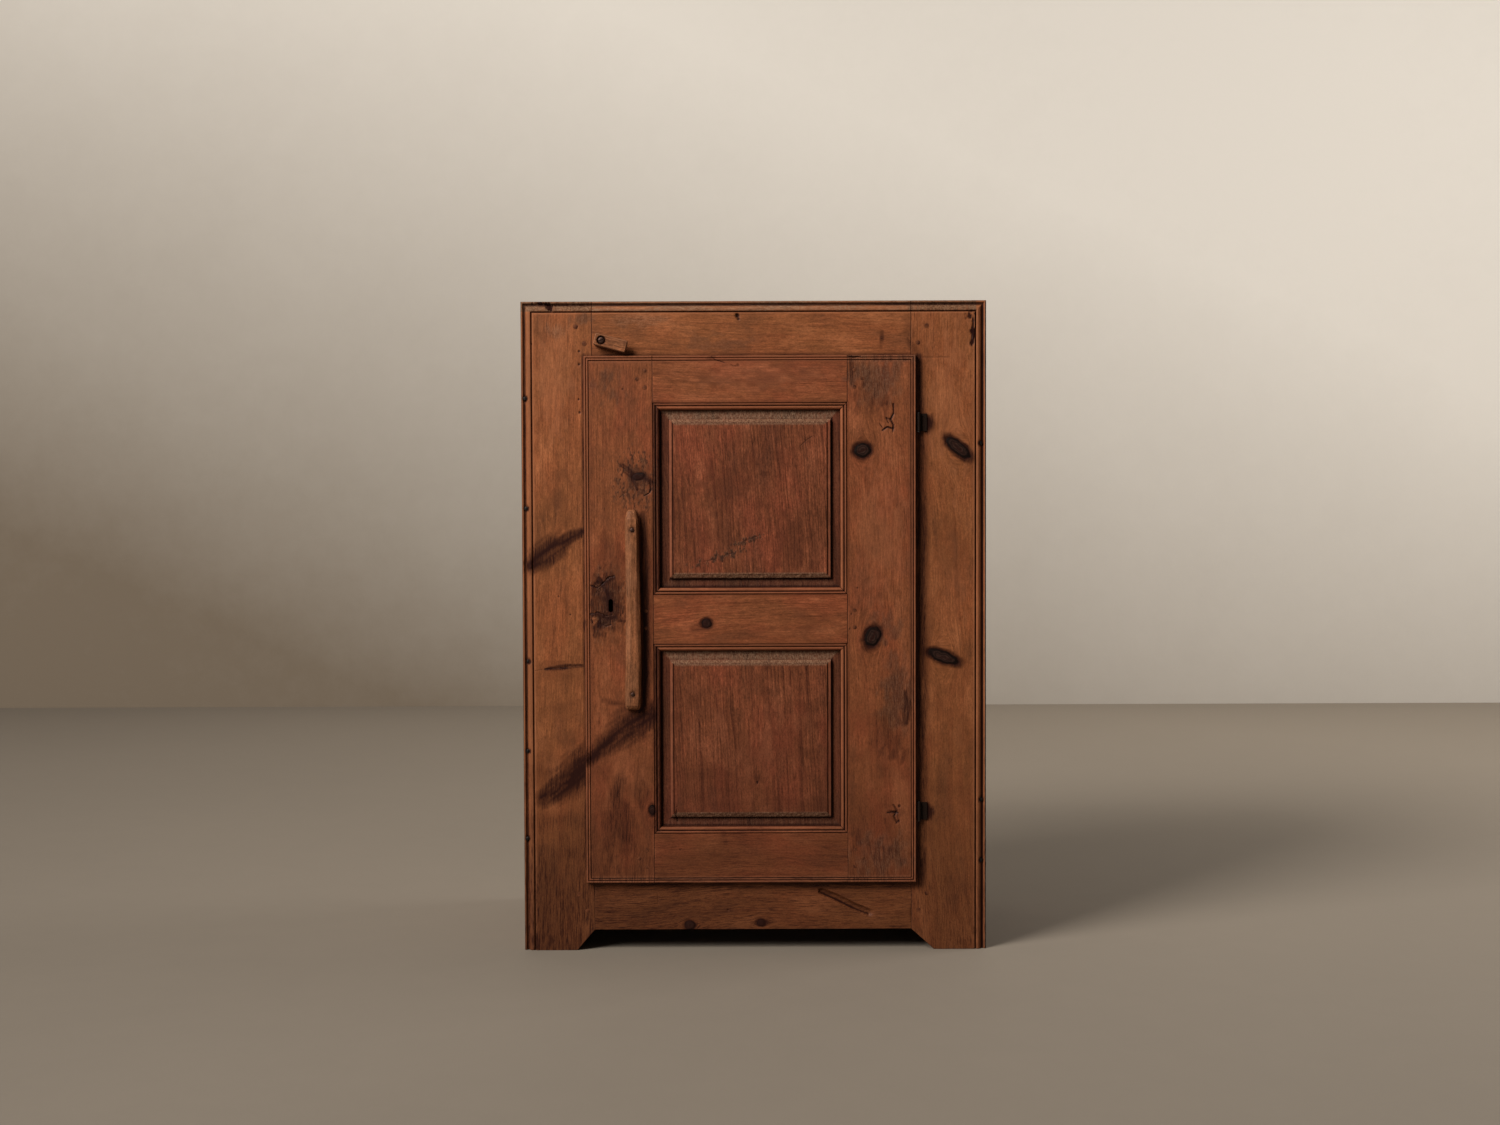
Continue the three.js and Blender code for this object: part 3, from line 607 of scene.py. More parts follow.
class Graph:
    """The node tree of one material, with short ways to add to it."""

    def __init__(self, name: str) -> None:
        """Starts a material that has only its shader and its output."""
        self.material = bpy.data.materials.new(name)
        self.material.use_nodes = True
        self.tree = self.material.node_tree
        self.tree.nodes.clear()
        self.shader = self.add("ShaderNodeBsdfPrincipled")
        self.add("ShaderNodeOutputMaterial", ("Surface", self.shader.outputs["BSDF"]))

    def add(self, kind: str, *feeds: tuple[object, object], **options: object) -> bpy.types.Node:
        """Adds a node, sets its options and feeds its inputs.

        Args:
            kind: of node.
            feeds: (input, value) for each input that is fed.
            options: its other settings.

        Returns:
            The node.
        """
        node = self.tree.nodes.new(kind)
        for name, value in options.items():
            setattr(node, name, value)
        for key, value in feeds:
            self.plug(node.inputs[key], value)
        return node

    def plug(self, socket: Socket, value: object) -> None:
        """Links a socket to another one, or sets it to a plain value."""
        if isinstance(value, bpy.types.NodeSocket):
            self.tree.links.new(value, socket)
        else:
            socket.default_value = value

    def shade(self, name: str, value: object) -> None:
        """Gives a value to an input of the shader."""
        self.plug(self.shader.inputs[name], value)

    def math(self, operation: str, *values: object, clamp: bool = False) -> Socket:
        """A sum of one to three values."""
        return self.add("ShaderNodeMath", *enumerate(values), operation=operation, use_clamp=clamp).outputs[0]

    def times(self, first: object, second: object) -> Socket:
        """The product of two values."""
        return self.math("MULTIPLY", first, second)

    def blend(self, value: object, share: object, rest: object, clamp: bool = False) -> Socket:
        """A value times a share, plus the rest."""
        return self.math("MULTIPLY_ADD", value, share, rest, clamp=clamp)

    def noise(self, vector: Socket, factors: Point, detail: float, roughness: float) -> Socket:
        """Noise from 0 to 1 on a vector stretched by a factor along each axis."""
        stretched = self.add("ShaderNodeVectorMath", (0, vector), (1, factors), operation="MULTIPLY")
        return self.add("ShaderNodeTexNoise", ("Vector", stretched.outputs[0]), ("Scale", 1), ("Detail", detail),
                        ("Roughness", roughness)).outputs[0]

    def step(self, value: Socket, low: float, high: float, start: float = 0, end: float = 1) -> Socket:
        """A smooth step from start to end as the value goes from low to high."""
        values = enumerate((value, low, high, start, end))
        return self.add("ShaderNodeMapRange", *values, interpolation_type="SMOOTHSTEP").outputs[0]

    def curve(self, value: Socket, stops: Sequence[Place]) -> Socket:
        """A value read off a ramp of greys."""
        node = self.add("ShaderNodeValToRGB", (0, value))
        ramp = node.color_ramp
        while len(ramp.elements) < len(stops):
            ramp.elements.new(0.5)
        for element, (place, grey) in zip(ramp.elements, stops):
            element.position = place
            element.color = (grey, grey, grey, 1)
        return node.outputs[0]

    def mix(self, share: object, under: object, over: object, blend: str = "MIX") -> Socket:
        """Two colours mixed by a share."""
        colours = [(key, (*value, 1) if isinstance(value, tuple) else value) for key, value in ((6, under), (7, over))]
        return self.add("ShaderNodeMix", (0, share), *colours, data_type="RGBA", blend_type=blend).outputs[2]

    def mark(self, name: str) -> Socket:
        """A mark of the piece, as a number."""
        return self.add("ShaderNodeAttribute", attribute_name=name).outputs["Fac"]

    def bump(self, height: Socket, distance: float) -> None:
        """Roughens the surface by a height, distance in millimetres."""
        node = self.add("ShaderNodeBump", ("Strength", 1), ("Distance", distance * METRE), ("Height", height))
        self.shade("Normal", node.outputs[0])


class Finish(Protocol):
    """Anything that can dress a piece."""

    def material(self) -> bpy.types.Material:
        """The Blender material, made once."""


# Noises of the wood: how fine across and along the grain, detail and roughness
GRAIN = ((0.022, 0.0035, 2, 0.55), (0.25, 0.012, 3, 0.55), (0.11, 0.003, 4, 0.6), (0.5, 0.016, 4, 0.62),
         (1.5, 0.06, 5, 0.68), (4.5, 0.22, 2, 0.5), (0.017, 0.008, 4, 0.6), (0.03, 0.011, 4, 0.62),
         (0.6, 0.3, 5, 0.75), (0.3, 0.09, 5, 0.72))
# What lies on the wood: the first colour is that of the dark mark, grime and also painted shade where that mark stands
# in for shade; grime and chips pass from a dark colour to a pale one
DIRT_AND_SHADE = (0.022, 0.0055, 0.0035)
GREYED = (0.16, 0.12, 0.085)
GRIME = (0.06, 0.031, 0.018), (0.28, 0.175, 0.11)
CHIPS = (0.035, 0.018, 0.01), (0.24, 0.13, 0.07)
# The knot mark as a grey: bark, rings and heart
EYE = ((0.5, 0), (0.62, 0.03), (0.69, 0.6), (0.75, 0.15), (0.82, 0.9), (0.89, 0.3), (0.95, 0.6), (1, 0.05))


def toned(colour: Colour, share: float, plus: float = 0) -> Colour:
    """A colour lighter or darker by a factor, with a little added."""
    return tuple(share * c + plus for c in colour)


@dataclass(frozen=True)
class Pine:
    """Old pine, waxed or bare. Its rings are distances from the heart of the tree, and follow the grain mark."""

    name: str
    early: Colour
    late: Colour
    flush: Colour
    ring: float = 4.2
    ring_share: float = 0.38
    fibre: float = 0.42
    roughness: float = 0.5
    relief: float = 0.16
    sheen: float = 0.1
    grey: float = 0.0
    heart: Colour = (0.055, 0.025, 0.018)

    @cache
    def material(self) -> bpy.types.Material:
        """Rings, fibres and blotches first, then the marks laid over them: those of age, and the painted shade and
        painted highlights that the dark and pale marks also carry.
        """
        g = Graph(self.name)
        grain = g.add("ShaderNodeAttribute", attribute_name="grain").outputs["Vector"]
        parts = g.add("ShaderNodeSeparateXYZ", (0, grain))
        wander, ragged, streak, strand, fibre, hair, blotch, cloud, speck, mottle = (
            g.noise(grain, (across, along, across), detail, roughness) for across, along, detail, roughness in GRAIN)
        across = g.blend(wander, 26, parts.outputs[0])
        reach = g.math("SQRT", g.math("ADD", g.math("POWER", across, 2), g.math("POWER", parts.outputs[2], 2)))
        rings = g.math("DIVIDE", g.blend(ragged, 2.6, reach), self.ring)
        ring = g.curve(g.math("FRACT", rings), ((0, 0), (0.35, 0.1), (0.7, 0.55), (0.9, 1), (1, 0)))
        year = g.add("ShaderNodeTexWhiteNoise", ("W", g.math("FLOOR", rings)), noise_dimensions="1D")
        ring = g.times(ring, g.blend(year.outputs["Value"], 0.7, 0.3))

        colour = g.mix(g.times(ring, self.ring_share), self.early, self.late)
        colour = g.mix(g.step(blotch, 0.38, 0.66, 0, 0.85), colour, self.flush)
        colour = g.mix(g.step(streak, 0.5, 0.75, 0, 0.9 * self.ring_share), colour, self.late)
        colour = g.mix(g.step(cloud, 0.5, 0.72, 0, 0.5), colour, toned(self.early, 0.45, 0.006))
        colour = g.mix(g.step(cloud, 0.5, 0.3, 0, 0.55), colour, toned(self.early, 1.3, 0.006))
        shade = g.blend(strand, 3.4 * self.fibre, 1 - 1.7 * self.fibre)
        for texture, share in ((fibre, 3.8 * self.fibre), (hair, 1.8 * self.fibre), (speck, 3.4 * self.fibre),
                               (blotch, 2.4 * self.fibre), (mottle, 3.4 * self.fibre)):
            shade = g.times(shade, g.blend(texture, share, 1 - share / 2))
        tone = g.add("ShaderNodeCombineColor", *[(part, shade) for part in range(3)])
        colour = g.mix(1, colour, tone.outputs[0], "MULTIPLY")
        pores = g.times(g.step(fibre, 0.56, 0.7), g.step(strand, 0.42, 0.6))
        colour = g.mix(g.times(pores, 0.7), colour, toned(self.late, 0.35))
        colour = g.mix(g.step(speck, 0.6, 0.74, 0, 0.75), colour, toned(self.late, 0.3))

        pale = g.times(g.mark("pale"), g.step(fibre, 0.3, 0.65, 0.4, 1))
        colour = g.mix(pale, colour, toned(self.early, 1.45, 0.02))
        dust = g.times(g.mark("dust"), g.step(speck, 0.3, 0.7, 0.25, 1))
        grime = g.mix(g.step(g.math("ADD", speck, mottle), 0.75, 1.25), *GRIME)
        colour = g.mix(dust, colour, grime)
        if self.grey:
            colour = g.mix(g.step(streak, 0.3, 0.7, self.grey, self.grey * 0.4), colour, GREYED)
        torn = g.mark("torn")
        chips = g.mix(g.step(speck, 0.42, 0.58), *CHIPS)
        colour = g.mix(g.times(torn, g.step(hair, 0.3, 0.6, 0.5, 1)), colour, chips)
        knot = g.mark("knot")
        eye = g.curve(g.blend(speck, 0.1, g.math("SUBTRACT", knot, 0.05)), EYE)
        heart = g.mix(g.times(eye, g.step(hair, 0.3, 0.6, 0.5, 1)), toned(self.heart, 0.1), self.heart)
        colour = g.mix(g.step(knot, 0.12, 0.5, 0, 0.6), colour, toned(self.late, 0.4))
        colour = g.mix(g.step(knot, 0.43, 0.51), colour, heart)
        # The dark mark is grime and painted shade together: cast shadows, shade in hollows and creases, and the light
        # falling off low down
        dirt_and_shade = g.times(g.mark("dark"), g.blend(g.mark("end"), -0.75, 1))
        thready = g.blend(strand, 0.6, g.blend(mottle, 0.4, fibre))
        uneven = g.times(g.times(dirt_and_shade, g.math("SUBTRACT", 1, dirt_and_shade)), g.step(thready, 0.84, 1.16, -0.5, 0.5))
        dark = g.blend(uneven, 2.8, dirt_and_shade, clamp=True)
        colour = g.mix(dark, colour, DIRT_AND_SHADE)
        colour = g.mix(g.times(g.mark("end"), 0.6), colour, self.late)
        g.shade("Base Color", colour)

        rough = g.blend(g.mark("dust"), 0.25, g.blend(fibre, 0.2, self.roughness - 0.1))
        g.shade("Roughness", g.blend(torn, 0.3, rough, clamp=True))
        g.shade("Specular IOR Level", self.sheen)
        height = g.blend(hair, 0.35, g.blend(fibre, 0.9, g.times(ring, 0.35)))
        g.bump(g.blend(g.times(speck, torn), 4, height), self.relief)
        return g.material


@dataclass(frozen=True)
class Iron:
    """Old iron: dark scale worn bright where it rubs, with rust in blotches."""

    name: str
    scale: Colour
    bright: Colour
    rust: Colour
    worn: float
    metal: float = 0.9
    sheen: float = 0.5

    @cache
    def material(self) -> bpy.types.Material:
        """Rust and wear by noise on object coordinates."""
        g = Graph(self.name)
        place = g.add("ShaderNodeTexCoord").outputs["Object"]
        broad, fine = g.noise(place, (160,) * 3, 4, 0.6), g.noise(place, (900,) * 3, 4, 0.7)
        wear = g.step(g.math("ADD", broad, g.times(fine, 0.4)), 0.62, 0.82, 0, self.worn)
        rusty = g.step(g.math("SUBTRACT", fine, g.times(broad, 0.5)), 0.2, 0.42, 0, 0.85)
        g.shade("Base Color", g.mix(rusty, g.mix(wear, self.scale, self.bright), self.rust))
        g.shade("Metallic", g.blend(rusty, 0.1 - self.metal, self.metal))
        g.shade("Roughness", g.blend(fine, 0.4, 0.3))
        g.shade("Specular IOR Level", self.sheen)
        g.bump(g.math("ADD", fine, broad), 0.25)
        return g.material


FRAME_PINE = Pine("frame_pine", (0.25, 0.085, 0.031), (0.11, 0.03, 0.012), (0.205, 0.062, 0.023))
DOOR_PINE = Pine("door_pine", (0.232, 0.074, 0.029), (0.1, 0.026, 0.011), (0.19, 0.05, 0.021))
PANEL_PINE = Pine("panel_pine", (0.195, 0.06, 0.026), (0.075, 0.02, 0.01), (0.158, 0.04, 0.019),
                  ring=4, ring_share=1, fibre=0.56)
CARCASE_PINE = Pine("carcase_pine", (0.24, 0.105, 0.048), (0.12, 0.045, 0.02), (0.2, 0.08, 0.035),
                    fibre=0.35, roughness=0.62, heart=(0.12, 0.055, 0.03))
BARE_PINE = Pine("bare_pine", (0.33, 0.2, 0.11), (0.19, 0.1, 0.05), (0.27, 0.15, 0.08),
                 fibre=0.36, roughness=0.75, relief=0.18, grey=0.35, heart=(0.17, 0.09, 0.048))
HANDLE_PINE = Pine("handle_pine", (0.25, 0.098, 0.042), (0.13, 0.042, 0.018), (0.205, 0.074, 0.031),
                   ring=2.6, ring_share=1, fibre=0.55)
PEG_PINE = Pine("peg_pine", (0.17, 0.056, 0.023), (0.07, 0.021, 0.01), (0.13, 0.04, 0.017), ring=1.2)
WORN_IRON = Iron("worn_iron", (0.018, 0.015, 0.014), (0.13, 0.12, 0.115), (0.05, 0.023, 0.012), 0.35)
DARK_IRON = Iron("dark_iron", (0.008, 0.006, 0.005), (0.03, 0.026, 0.024), (0.02, 0.009, 0.006), 0.25)
# Iron of the hinge leaves, kept nearly black and dull as painted shade, so that the leaves lie in the shadow beside
# the door
SHADE_DARKENED_IRON = Iron("shade_darkened_iron", (0.011, 0.006, 0.004), (0.02, 0.012, 0.009), (0.02, 0.009, 0.006), 0.25,
                    metal=0.1, sheen=0.1)
RUSTED_IRON = Iron("rusted_iron", (0.045, 0.02, 0.014), (0.13, 0.08, 0.06), (0.085, 0.033, 0.018), 0.3)

# Nails: heights and depths in the sides, places in the top, shares of a back board's width, and the mouldings
NAIL_HEIGHTS = (107, 392, 682)
NAIL_DEPTHS = (60, 150, 250, 340)
TOP_NAILS = (60, 150, 245, 345)
TOP_NAIL_U = 348
BACK_NAILS = (0.2, 0.75)
BACK_TOP_NAIL = 972
MOULDING_NAILS: Line = (
    (348.2, 781), (349.2, 231.8), (348.9, 137.6), (-350.5, 851.5), (-349.5, 682.8), (-347.8, 447.6),
    (-349.5, 309), (-351.2, 173.2))


# Boards

class Lay(Enum):
    """Which way the grain of a board runs on its face."""

    UPRIGHT = "upright"
    LEVEL = "level"


@dataclass(frozen=True)
class Plane:
    """Where the face of a board lies: a point, the directions of u and v on it, and the way into the wood."""

    origin: Point
    u_way: Point
    v_way: Point
    inward: Point

    def place(self, u: Array, v: Array, depth: Array) -> Array:
        """Points in space: the origin plus u, v and depth along their directions."""
        ways = (u[..., None] * np.array(self.u_way), v[..., None] * np.array(self.v_way),
                depth[..., None] * np.array(self.inward))
        return np.array(self.origin) + sum(ways)


FRONT = Plane((0, 0, 0), (1, 0, 0), (0, 0, 1), (0, 1, 0))
BACK = Plane((0, DEPTH, 0), (1, 0, 0), (0, 0, 1), (0, -1, 0))
LEFT = Plane((-HALF_WIDTH, 0, 0), (0, 1, 0), (0, 0, 1), (1, 0, 0))
RIGHT = Plane((HALF_WIDTH, 0, 0), (0, 1, 0), (0, 0, 1), (-1, 0, 0))


def level_plane(height: float) -> Plane:
    """The plane of a board that lies flat, its face up."""
    return Plane((0, 0, height), (1, 0, 0), (0, 1, 0), (0, 0, -1))


@dataclass(frozen=True)
class Grain:
    """How a board was sawn: how far the heart of the tree lies beside and behind its face."""

    beside: float
    behind: float
    drift: float
    seed: int


@dataclass(frozen=True)
class Side:
    """The edge of a board from face to back, as (inset, depth) points; other points hold in some spans."""

    points: Line
    other: Line = ()
    spans: Line = ()

    def rings(self, along: Array) -> tuple[Array, Array]:
        """Insets and depths of the points at each place along the board."""
        usual = np.broadcast_to(np.array(self.points, float), (len(along), len(self.points), 2)).copy()
        for start, end in self.spans:
            usual[(along > start) & (along < end)] = np.array(self.other, float)
        return usual[..., 0], usual[..., 1]


def square_side(back: float, ease: float = ARRIS, line: Optional[float] = None) -> Side:
    """A plain square edge with its back arris eased, and a point at a further depth behind its face."""
    return Side((*([(0, line)] if line else []), (0, back - ease), (ease, back)))


@dataclass(frozen=True)
class Hole:
    """A slot with round ends right through a board."""

    u: float
    v: float
    half_width: float
    half_height: float


@dataclass
class Board:
    """One board: sections across it, carried along its length, with its face worked by relief and marks.

    The face is a height field over a grid. Its edges may vary along the board, and a band beside each
    such edge stretches to follow it while the other lines stay where they are.
    """

    node: str
    slot: str
    finish: Pine
    plane: Plane
    lay: Lay
    ends: Place
    edges: tuple[Line, Line]
    face: float
    back: float
    grain: Grain
    relief: Optional[Callable[[Surface], None]] = None
    marks: Sequence[Mark] = ()
    bands: Place = (0.0, 0.0)
    fixed_across: Sequence[float] = ()
    fixed_along: Sequence[float] = ()
    lip: Optional[Point] = None
    hole: Optional[Hole] = None
    step: float = 2.4
    back_step: float = 16.0
    ease: float = 0.6
    wave: float = 0.22
    finest: float = 0.8
    long_step: float = 3.2
    proud: float = 0.5
    edge_share: float = 0.2
    body: str = "case"
    made: str = "worn"
    sides: Optional[tuple[Side, Side]] = None
    side_line: Optional[float] = None

    def __post_init__(self) -> None:
        """Gives a board without sides of its own two square ones."""
        if self.sides is None:
            self.sides = (square_side(self.back, line=self.side_line),) * 2

    def _zones(self, along: bool) -> list[Point]:
        """The fine zones that the marks ask for, along the board or across it."""
        upright = self.lay is Lay.UPRIGHT
        first = 2 if along == upright else 0
        edges = np.array([p for edge in self.edges for p in edge])
        low, high = edges[:, 1].min(), edges[:, 1].max()
        other, limits, zones = 2 - first, (low, high) if along else self.ends, []
        for zone in (mark.zone() for mark in self.marks):
            step = max(zone[4], self.finest) * (1.25 if along else 1)
            if zone[other + 1] > limits[0] and zone[other] < limits[1] and step < self.step:
                zones.append((zone[first], zone[first + 1], step))
        return zones

    def _stations(self) -> Array:
        """Places of the sections along the board, doubled where the outline of an edge changes."""
        start, end = self.ends
        jumps = [p for side in self.sides for span in side.spans for p in span]
        if self.lip:
            jumps += [start + self.lip[0], end - self.lip[1]]
        fixed = [j + d for j in jumps for d in (-0.02, 0.02)] + list(self.fixed_along)
        fixed += [p[0] for edge in self.edges for p in edge]
        fixed += from_ends(start, end, RIM_LINES)
        return graded_lines(start, end, self.long_step, self._zones(True), fixed)

    def _across(self, a: Array, b: Array) -> tuple[Array, Array]:
        """Places of the face's lines at each station, and the same at full width."""
        low_full, high_full = a.min(), b.max()
        low_fix = a.max() + self.bands[0] if self.bands[0] else low_full
        high_fix = b.min() - self.bands[1] if self.bands[1] else high_full
        near = from_ends(low_full, high_full, RIM_LINES)
        lines = graded_lines(low_full, high_full, self.step, self._zones(False),
                             [*self.fixed_across, *near, low_fix, high_fix])
        across = np.broadcast_to(lines, (len(a), len(lines))).copy()
        for band, fix, full, edge in zip(self.bands, (low_fix, high_fix), (low_full, high_full), (a, b)):
            if band:
                share = np.clip((lines - fix) / (full - fix), 0, 1)
                across = np.where(share > 0, fix + share * (edge[:, None] - fix), across)
        return across, lines

    def _pierce(self, skin: Skin, along: Array, lines: Array, back_first: int, back_lines: Array,
                around: int) -> Skin:
        """Cuts the slot: drops the cells inside it, rounds their rim, joins front rim to back rim, and paints both
        rims dark as the shade inside the slot.
        """
        hole = self.hole
        levels = np.flatnonzero(np.abs(along - hole.v) <= hole.half_height + TINY)
        front = np.flatnonzero(np.abs(lines - hole.u) <= hole.half_width + TINY)
        behind = back_first + np.flatnonzero(np.abs(back_lines - hole.u) <= hole.half_width + TINY)[::-1]

        def rim(columns: Array) -> Array:
            """Indices of the rim, once round."""
            bottom, top = levels[0] * around + columns, levels[-1] * around + columns[::-1]
            return np.concatenate([bottom, levels[1:-1] * around + columns[-1], top,
                                   levels[1:-1][::-1] * around + columns[0]])

        corner = skin.quads[:, 0]
        row, column = corner // around, corner % around
        in_rows = (row >= levels[0]) & (row < levels[-1])
        in_front = (column >= front[0]) & (column < front[-1])
        in_back = (column >= behind.min()) & (column < behind.max())
        quads = skin.quads[~(in_rows & (in_front | in_back))]
        first, second = rim(front), rim(behind)
        walls = np.stack([first, np.roll(first, -1), np.roll(second, -1), second], axis=1)
        upright = hole.half_height - hole.half_width
        for ring in (first, second):
            u, v = skin.points[ring, 0] - hole.u, skin.points[ring, 2] - hole.v
            near = np.clip(v, -upright, upright)
            over = v - near
            length = np.maximum(np.hypot(u, over), TINY)
            curved = np.abs(over) > TINY
            skin.points[ring, 0] = hole.u + np.where(curved, u / length * hole.half_width, u)
            skin.points[ring, 2] = hole.v + np.where(curved, near + over / length * hole.half_width, v)
            # Painted shade: the rims, and so the walls of the slot, are fully dark
            skin.marks["dark"][ring] = 1
        return Skin(skin.points, np.concatenate([quads, walls]), skin.caps, skin.marks)

    def skin(self) -> Skin:
        """The closed skin: face, one edge, back and the other edge at each station, in that order."""
        along = self._stations()
        a, b = (np.interp(along, *np.array(edge, float).T) for edge in self.edges)
        face_across, lines = self._across(a, b)
        (inset_a, depth_a), (inset_b, depth_b) = (side.rings(along) for side in self.sides)
        low, high = a + inset_a[:, -1], b - inset_b[:, -1]
        low_ref, high_ref = a.max() + inset_a[0, -1], b.min() - inset_b[0, -1]
        wanted = lines[np.abs(lines - self.hole.u) <= self.hole.half_width + TINY] if self.hole else ()
        back_lines = graded_lines(low_ref, high_ref, self.back_step, (), wanted)[1:-1][::-1]
        share = (back_lines - low_ref) / (high_ref - low_ref)
        back_across = low[:, None] + share * (high - low)[:, None]
        across = np.concatenate([face_across, b[:, None] - inset_b, back_across,
                                 (a[:, None] + inset_a)[:, ::-1]], axis=1)
        depth = np.concatenate([np.full(face_across.shape, float(self.face)), depth_b,
                                np.full(back_across.shape, float(self.back)), depth_a[:, ::-1]], axis=1)
        if self.lip:
            outside = (along < self.ends[0] + self.lip[0]) | (along > self.ends[1] - self.lip[1])
            squash = self.lip[2] + 0.004 * (depth - self.lip[2])
            depth = np.where(outside[:, None] & (depth > self.lip[2]), squash, depth)
        places = np.broadcast_to(along[:, None], across.shape)
        u, v = (across, places) if self.lay is Lay.UPRIGHT else (places, across)
        surface = Surface(u, v, self.lay is Lay.UPRIGHT)
        g, seed = self.grain, self.grain.seed
        if self.relief:
            self.relief(surface)
        worked = fade(0.3, 0, surface.depth)
        surface.depth += worked * self.wave * (0.5 + 0.5 * rough_noise(across, places, 45, 160, seed))
        surface.depth += worked * 0.3 * self.wave * fade(0.5, 1.1, rough_noise(u, v, 7, 7, seed + 9))
        for mark in self.marks:
            surface.work(mark)
        count = face_across.shape[1]
        rim = inset(across, places, a[:, None], b[:, None], *self.ends)
        chipped = self.ease * (1 + 0.6 * rough_noise(u, v, 12, 12, seed + 5))
        inside = np.clip(1 - np.clip(rim, 0, None) / np.maximum(chipped, 0.05), 0, 1)
        eased = chipped * (1 - np.sqrt(1 - inside**2))
        depth[:, :count] += np.maximum(surface.depth + eased, -self.proud)[:, :count]
        patchy = fade(-0.2, 0.5, rough_noise(u, v, 20, 20, seed + 6))
        surface.raise_mark("pale", 0.35 * fade(2.6, 0.8, rim) * patchy)
        surface.raise_mark("dark", 0.8 * fade(0.9, 0.2, rim))
        for name in COLOUR_MARKS:
            getattr(surface, name)[:, count:] *= self.edge_share

        drifted = across + surface.swerve + g.beside + g.drift * places
        drifted = drifted + 5 * soft_noise(places, across, 210, 900, seed + 2)
        grain = np.stack([drifted, places + 137 * seed, depth + g.behind], axis=-1)
        marks = {name: getattr(surface, name) for name in SEEN}
        skin = tube(self.plane.place(u, v, depth), {"grain": grain, **marks})
        if self.hole:
            back_first = count + inset_b.shape[1]
            skin = self._pierce(skin, along, lines, back_first, back_lines, across.shape[1])
        return skin

    def make(self) -> None:
        """Builds the piece, dresses it and puts it in the place of its node."""
        weave(f"{self.made}_{self.node}", self.skin(), self.finish, self.body, self.node)


def straight(place: float) -> Line:
    """An edge that stays at one place all along."""
    return ((-ENDLESS, place), (ENDLESS, place))


# The face frame

